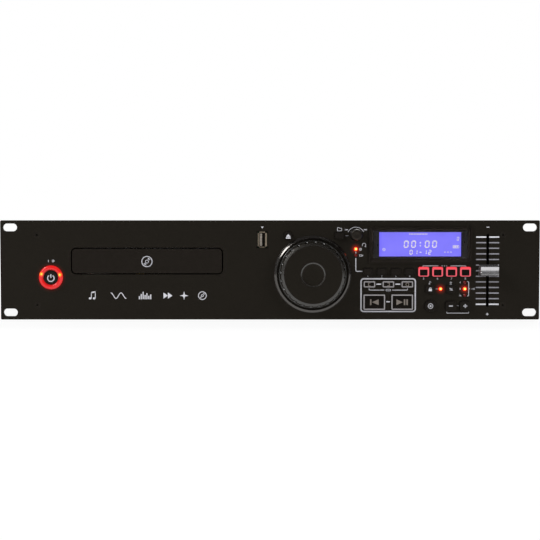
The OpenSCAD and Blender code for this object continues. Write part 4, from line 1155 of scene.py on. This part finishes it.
def lit_field():
    """A blue backlight, deeper along its left edge."""
    s = Surface("backlit_field")
    left = cx - LCD_W / 2
    base = s.mottle(screen(126, 119, 250), 0.05, 60.0)
    edge = s.ramp(s.axis("X"), 0.0, 1.0, left, left + LCD_EDGE)
    s.set("Base Color", screen(20, 18, 60))
    s.gloss(200.0, 0.3, 0.45)
    s.glow(s.blend(edge, screen(114, 104, 255), base), 1.01)
    s.relief(900.0, 2)
    return s


def lit_figures():
    s = Surface("pale_segments")
    s.set("Base Color", screen(60, 58, 54))
    s.gloss(200.0, 0.3, 0.45)
    s.glow(s.mottle(screen(228, 222, 214), 0.06, 400.0), 1.0)
    s.relief(900.0, 2)
    return s


def mask_print():
    return finish("display_mask_print", screen(18, 16, 15), 0.3, scale=600, vary=0.1, rough_vary=0.04,
                  height=0.5, specular=0.3)


field = Marks(FIELD_UP)
field.area(rounded(cx, cz, LCD_W, LCD_H, 0.4))
field.piece("display_field", LCD_Y, "chassis", lit_field())

mask = Marks(MASK_UP)
mask.band(rounded(cx, cz, MASK_W, MASK_H, 0.6), rounded(cx, cz, LCD_W + MASK_GAP, LCD_H + MASK_GAP, 0.5))
mask.piece("display_mask", MASK_Y, "chassis", mask_print())

SEGMENTS = {"0": "abcdef", "1": "bc", "2": "abged", "-": "g"}
SEGMENT_ENDS = {
    "a": ((-1, 1), (1, 1)),
    "b": ((1, 1), (1, 0)),
    "c": ((1, 0), (1, -1)),
    "d": ((-1, -1), (1, -1)),
    "e": ((-1, 0), (-1, -1)),
    "f": ((-1, 1), (-1, 0)),
    "g": ((-1, 0), (1, 0)),
}
SEGMENT_GAP = 0.12
SLANT = 0.09


def segment_outline(start, end, t):
    """The pointed outline of a segment of stroke t between two points."""
    long = math.dist(start, end)
    ux, uz = (end[0] - start[0]) / long, (end[1] - start[1]) / long
    tip = t * SEGMENT_GAP
    shoulder = tip + t / 2
    corners = ((tip, 0), (shoulder, -t / 2), (long - shoulder, -t / 2), (long - tip, 0),
               (long - shoulder, t / 2), (shoulder, t / 2))
    return [(start[0] + ux * along - uz * off, start[1] + uz * along + ux * off) for along, off in corners]


def seven(m, text, x, z, w, h, pitch, t):
    """Slanted seven-segment figures of stroke t, the first about x, z."""
    half_w, half_h = (w - t) / 2, (h - t) / 2
    for i, figure in enumerate(text):
        for segment in SEGMENTS[figure]:
            start, end = [(px * half_w, pz * half_h) for px, pz in SEGMENT_ENDS[segment]]
            points = segment_outline(start, end, t)
            m.area([(x + i * pitch + px + SLANT * pz, z + pz) for px, pz in points])


def display_marks(m):
    """Time, track, pitch and a few plain signs."""
    time = {"w": 4.3, "h": 6.6, "pitch": 6.6, "t": 1.0}
    seven(m, "00", cx - 12.4, cz + 0.1, **time)
    seven(m, "00", cx + 6.4, cz + 0.1, **time)
    for z in (cz + 1.5, cz - 1.3):
        m.disc(cx + 0.3, z, 0.6, 14)
    seven(m, "01-12", cx - 8.0, cz - 7.1, w=2.9, h=4.4, pitch=4.2, t=0.75)
    seven(m, "0", cx + 34.0, cz + 5.0, w=1.9, h=3.4, pitch=3.0, t=0.45)
    dot, dot_pitch = 0.9, 1.4
    for i in range(12):
        m.bar(cx - 9.4 + dot_pitch * i, cz + 9.2, dot, dot)
    cell_z = cz - 2.2
    m.frame(cx + 32.2, cell_z, 5.6, 2.6, 0.5, 0.35)
    for i in range(3):
        m.bar(cx + 30.6 + dot_pitch * i, cell_z, dot, 1.5)
        m.disc(cx + 22.4 + 2.7 * i, cz - 7.0, 0.5, 14)
    x, z = cx - 32.4, cz - 4.7
    m.ring(x, z, 1.1, 0.4, 26)
    m.disc(x, z, 0.35, 12)


shown = Marks()
display_marks(shown)
shown.piece("display_figures", LCD_Y - FIELD_UP, "chassis", lit_figures())

# Studio, in metres

scene = bpy.context.scene
scene.view_settings.view_transform = "Standard"
WHITE = (1.0, 1.0, 1.0, 1.0)
FLOOR_Z = cad_box[0].z
FLOOR_REACH = 12.0
FLOOR_GREY = 0.86
FLOOR_FADE = (("From Min", 0.5), ("From Max", 1.1), ("To Min", 0.8), ("To Max", 1.0))


def seen_white(tree):
    """1 for rays that show the background: from the camera, off gloss and through glass."""
    path = tree.nodes.new("ShaderNodeLightPath")
    total = path.outputs["Is Camera Ray"]
    for name in ("Is Glossy Ray", "Is Transmission Ray"):
        most = tree.nodes.new("ShaderNodeMath")
        most.operation = "MAXIMUM"
        tree.links.new(total, most.inputs[0])
        tree.links.new(path.outputs[name], most.inputs[1])
        total = most.outputs[0]
    return total


def mix_to(tree, output, share, plain, white):
    """Sends a plain shader to the output, turned to a white one by a share."""
    mix = tree.nodes.new("ShaderNodeMixShader")
    tree.links.new(share, mix.inputs[0])
    tree.links.new(plain.outputs[0], mix.inputs[1])
    tree.links.new(white.outputs[0], mix.inputs[2])
    out = tree.nodes.new(output)
    tree.links.new(mix.outputs[0], out.inputs["Surface"])


def floor_material():
    """A pale floor that takes shadows near the case and is seen as plain white far away."""
    mat = bpy.data.materials.new("pale_floor")
    mat.use_nodes = True
    tree = mat.node_tree
    tree.nodes.clear()
    matt = tree.nodes.new("ShaderNodeBsdfDiffuse")
    matt.inputs["Color"].default_value = (FLOOR_GREY, FLOOR_GREY, FLOOR_GREY, 1.0)
    light = tree.nodes.new("ShaderNodeEmission")
    light.inputs["Color"].default_value = WHITE
    place = tree.nodes.new("ShaderNodeTexCoord")
    far = tree.nodes.new("ShaderNodeVectorMath")
    far.operation = "LENGTH"
    tree.links.new(place.outputs["Object"], far.inputs[0])
    fade = tree.nodes.new("ShaderNodeMapRange")
    tree.links.new(far.outputs["Value"], fade.inputs["Value"])
    for name, value in FLOOR_FADE:
        fade.inputs[name].default_value = value
    share = tree.nodes.new("ShaderNodeMath")
    share.operation = "MULTIPLY"
    tree.links.new(seen_white(tree), share.inputs[0])
    tree.links.new(fade.outputs["Result"], share.inputs[1])
    mix_to(tree, "ShaderNodeOutputMaterial", share.outputs[0], matt, light)
    return mat


def card_material(name, shade):
    mat = bpy.data.materials.new(name)
    mat.use_nodes = True
    shader = mat.node_tree.nodes["Principled BSDF"]
    shader.inputs["Base Color"].default_value = (shade, shade, shade, 1.0)
    shader.inputs["Roughness"].default_value = 0.9
    return mat


def sheet(name, corners, mat):
    """One flat piece of the studio."""
    mesh = bpy.data.meshes.new(name)
    mesh.from_pydata(corners, [], [(0, 1, 2, 3)])
    mesh.materials.append(mat)
    obj = bpy.data.objects.new(name, mesh)
    scene.collection.objects.link(obj)
    return obj


def level(x, y0, y1, z):
    """Corners of a level sheet from -x to x and from y0 to y1."""
    return [(-x, y0, z), (x, y0, z), (x, y1, z), (-x, y1, z)]


def upright(start, end, top):
    """Corners of an upright sheet that stands on the floor along a line."""
    return [(*start, CARD_FOOT), (*end, CARD_FOOT), (*end, top), (*start, top)]


def reflected(obj):
    """Leaves a piece of the studio to be seen in gloss alone."""
    obj.visible_camera = False
    obj.visible_diffuse = False
    obj.visible_transmission = False
    obj.visible_shadow = False


CARD_FOOT = FLOOR_Z + 0.002
CARD_TOP = 1.9
CARD_W = 2.4
CARD_Y = -1.6
CARD_REAR = 0.8
LOW_REAR = -1.2
NEAR_X = 0.55
NEAR_TOP = 0.3
dark = card_material("dark_card", 0.09)
SIDE_CARDS = (
    ("left_card", -CARD_W, CARD_TOP, dark),
    ("right_card", CARD_W, CARD_TOP, dark),
    ("near_left_card", -NEAR_X, NEAR_TOP, card_material("pale_card", 0.24)),
    ("near_right_card", NEAR_X, NEAR_TOP, card_material("grey_card", 0.09)),
)

sheet("floor", level(FLOOR_REACH, -FLOOR_REACH, FLOOR_REACH, FLOOR_Z), floor_material())
front_card = sheet("front_card", upright((-CARD_W, CARD_Y), (CARD_W, CARD_Y), CARD_TOP), dark)
front_card.visible_camera = False
top_card = sheet("top_card", level(CARD_W, CARD_Y, CARD_REAR, CARD_TOP), dark)
top_card.visible_camera = False
for name, x, top, mat in SIDE_CARDS:
    reflected(sheet(name, upright((x, CARD_Y), (x, CARD_REAR), top), mat))
reflected(sheet("low_card", level(CARD_W, CARD_Y, LOW_REAR, CARD_FOOT), dark))


def sky(tree, strength):
    """A white background of that strength."""
    light = tree.nodes.new("ShaderNodeBackground")
    light.inputs["Color"].default_value = WHITE
    light.inputs["Strength"].default_value = strength
    return light


world = bpy.data.worlds.new("studio")
scene.world = world
world.use_nodes = True
world.node_tree.nodes.clear()
mix_to(world.node_tree, "ShaderNodeOutputWorld", seen_white(world.node_tree), sky(world.node_tree, 0.5),
       sky(world.node_tree, 1.0))


def softbox(name, place, target, width, height, power):
    lamp = bpy.data.lights.new(name, "AREA")
    lamp.shape = "RECTANGLE"
    lamp.size = width
    lamp.size_y = height
    lamp.energy = power
    obj = bpy.data.objects.new(name, lamp)
    obj.location = place
    obj.rotation_euler = (Vector(target) - Vector(place)).to_track_quat("-Z", "Y").to_euler()
    scene.collection.objects.link(obj)
    return obj


MIDDLE = (0.0, 0.0, 0.0)
softbox("key_box", (-1.35, -0.75, 1.15), MIDDLE, width=0.9, height=0.7, power=30.0)
fill = softbox("fill_box", (1.5, -1.1, 0.9), MIDDLE, width=0.9, height=0.9, power=27.0)
fill.visible_glossy = False
softbox("rear_box", (0.4, 1.6, 1.4), (0.0, 0.1, 0.0), width=1.2, height=0.8, power=24.0)

# Camera, a little above the panel's upper edge, so that the case's top stays hidden behind it

EYE = Vector((0.0, -1.150, 0.055))
AIM = Vector((0.0, PANEL * MM, 0.0))
FRAME_W = 0.4835
camera = bpy.data.cameras.new("camera")
camera.sensor_fit = "HORIZONTAL"
camera.sensor_width = 36.0
camera.lens = camera.sensor_width * (AIM - EYE).length / FRAME_W
camera.clip_start = 0.01
view = bpy.data.objects.new("camera", camera)
view.location = EYE
view.rotation_euler = (AIM - EYE).to_track_quat("-Z", "Y").to_euler()
scene.collection.objects.link(view)
scene.camera = view
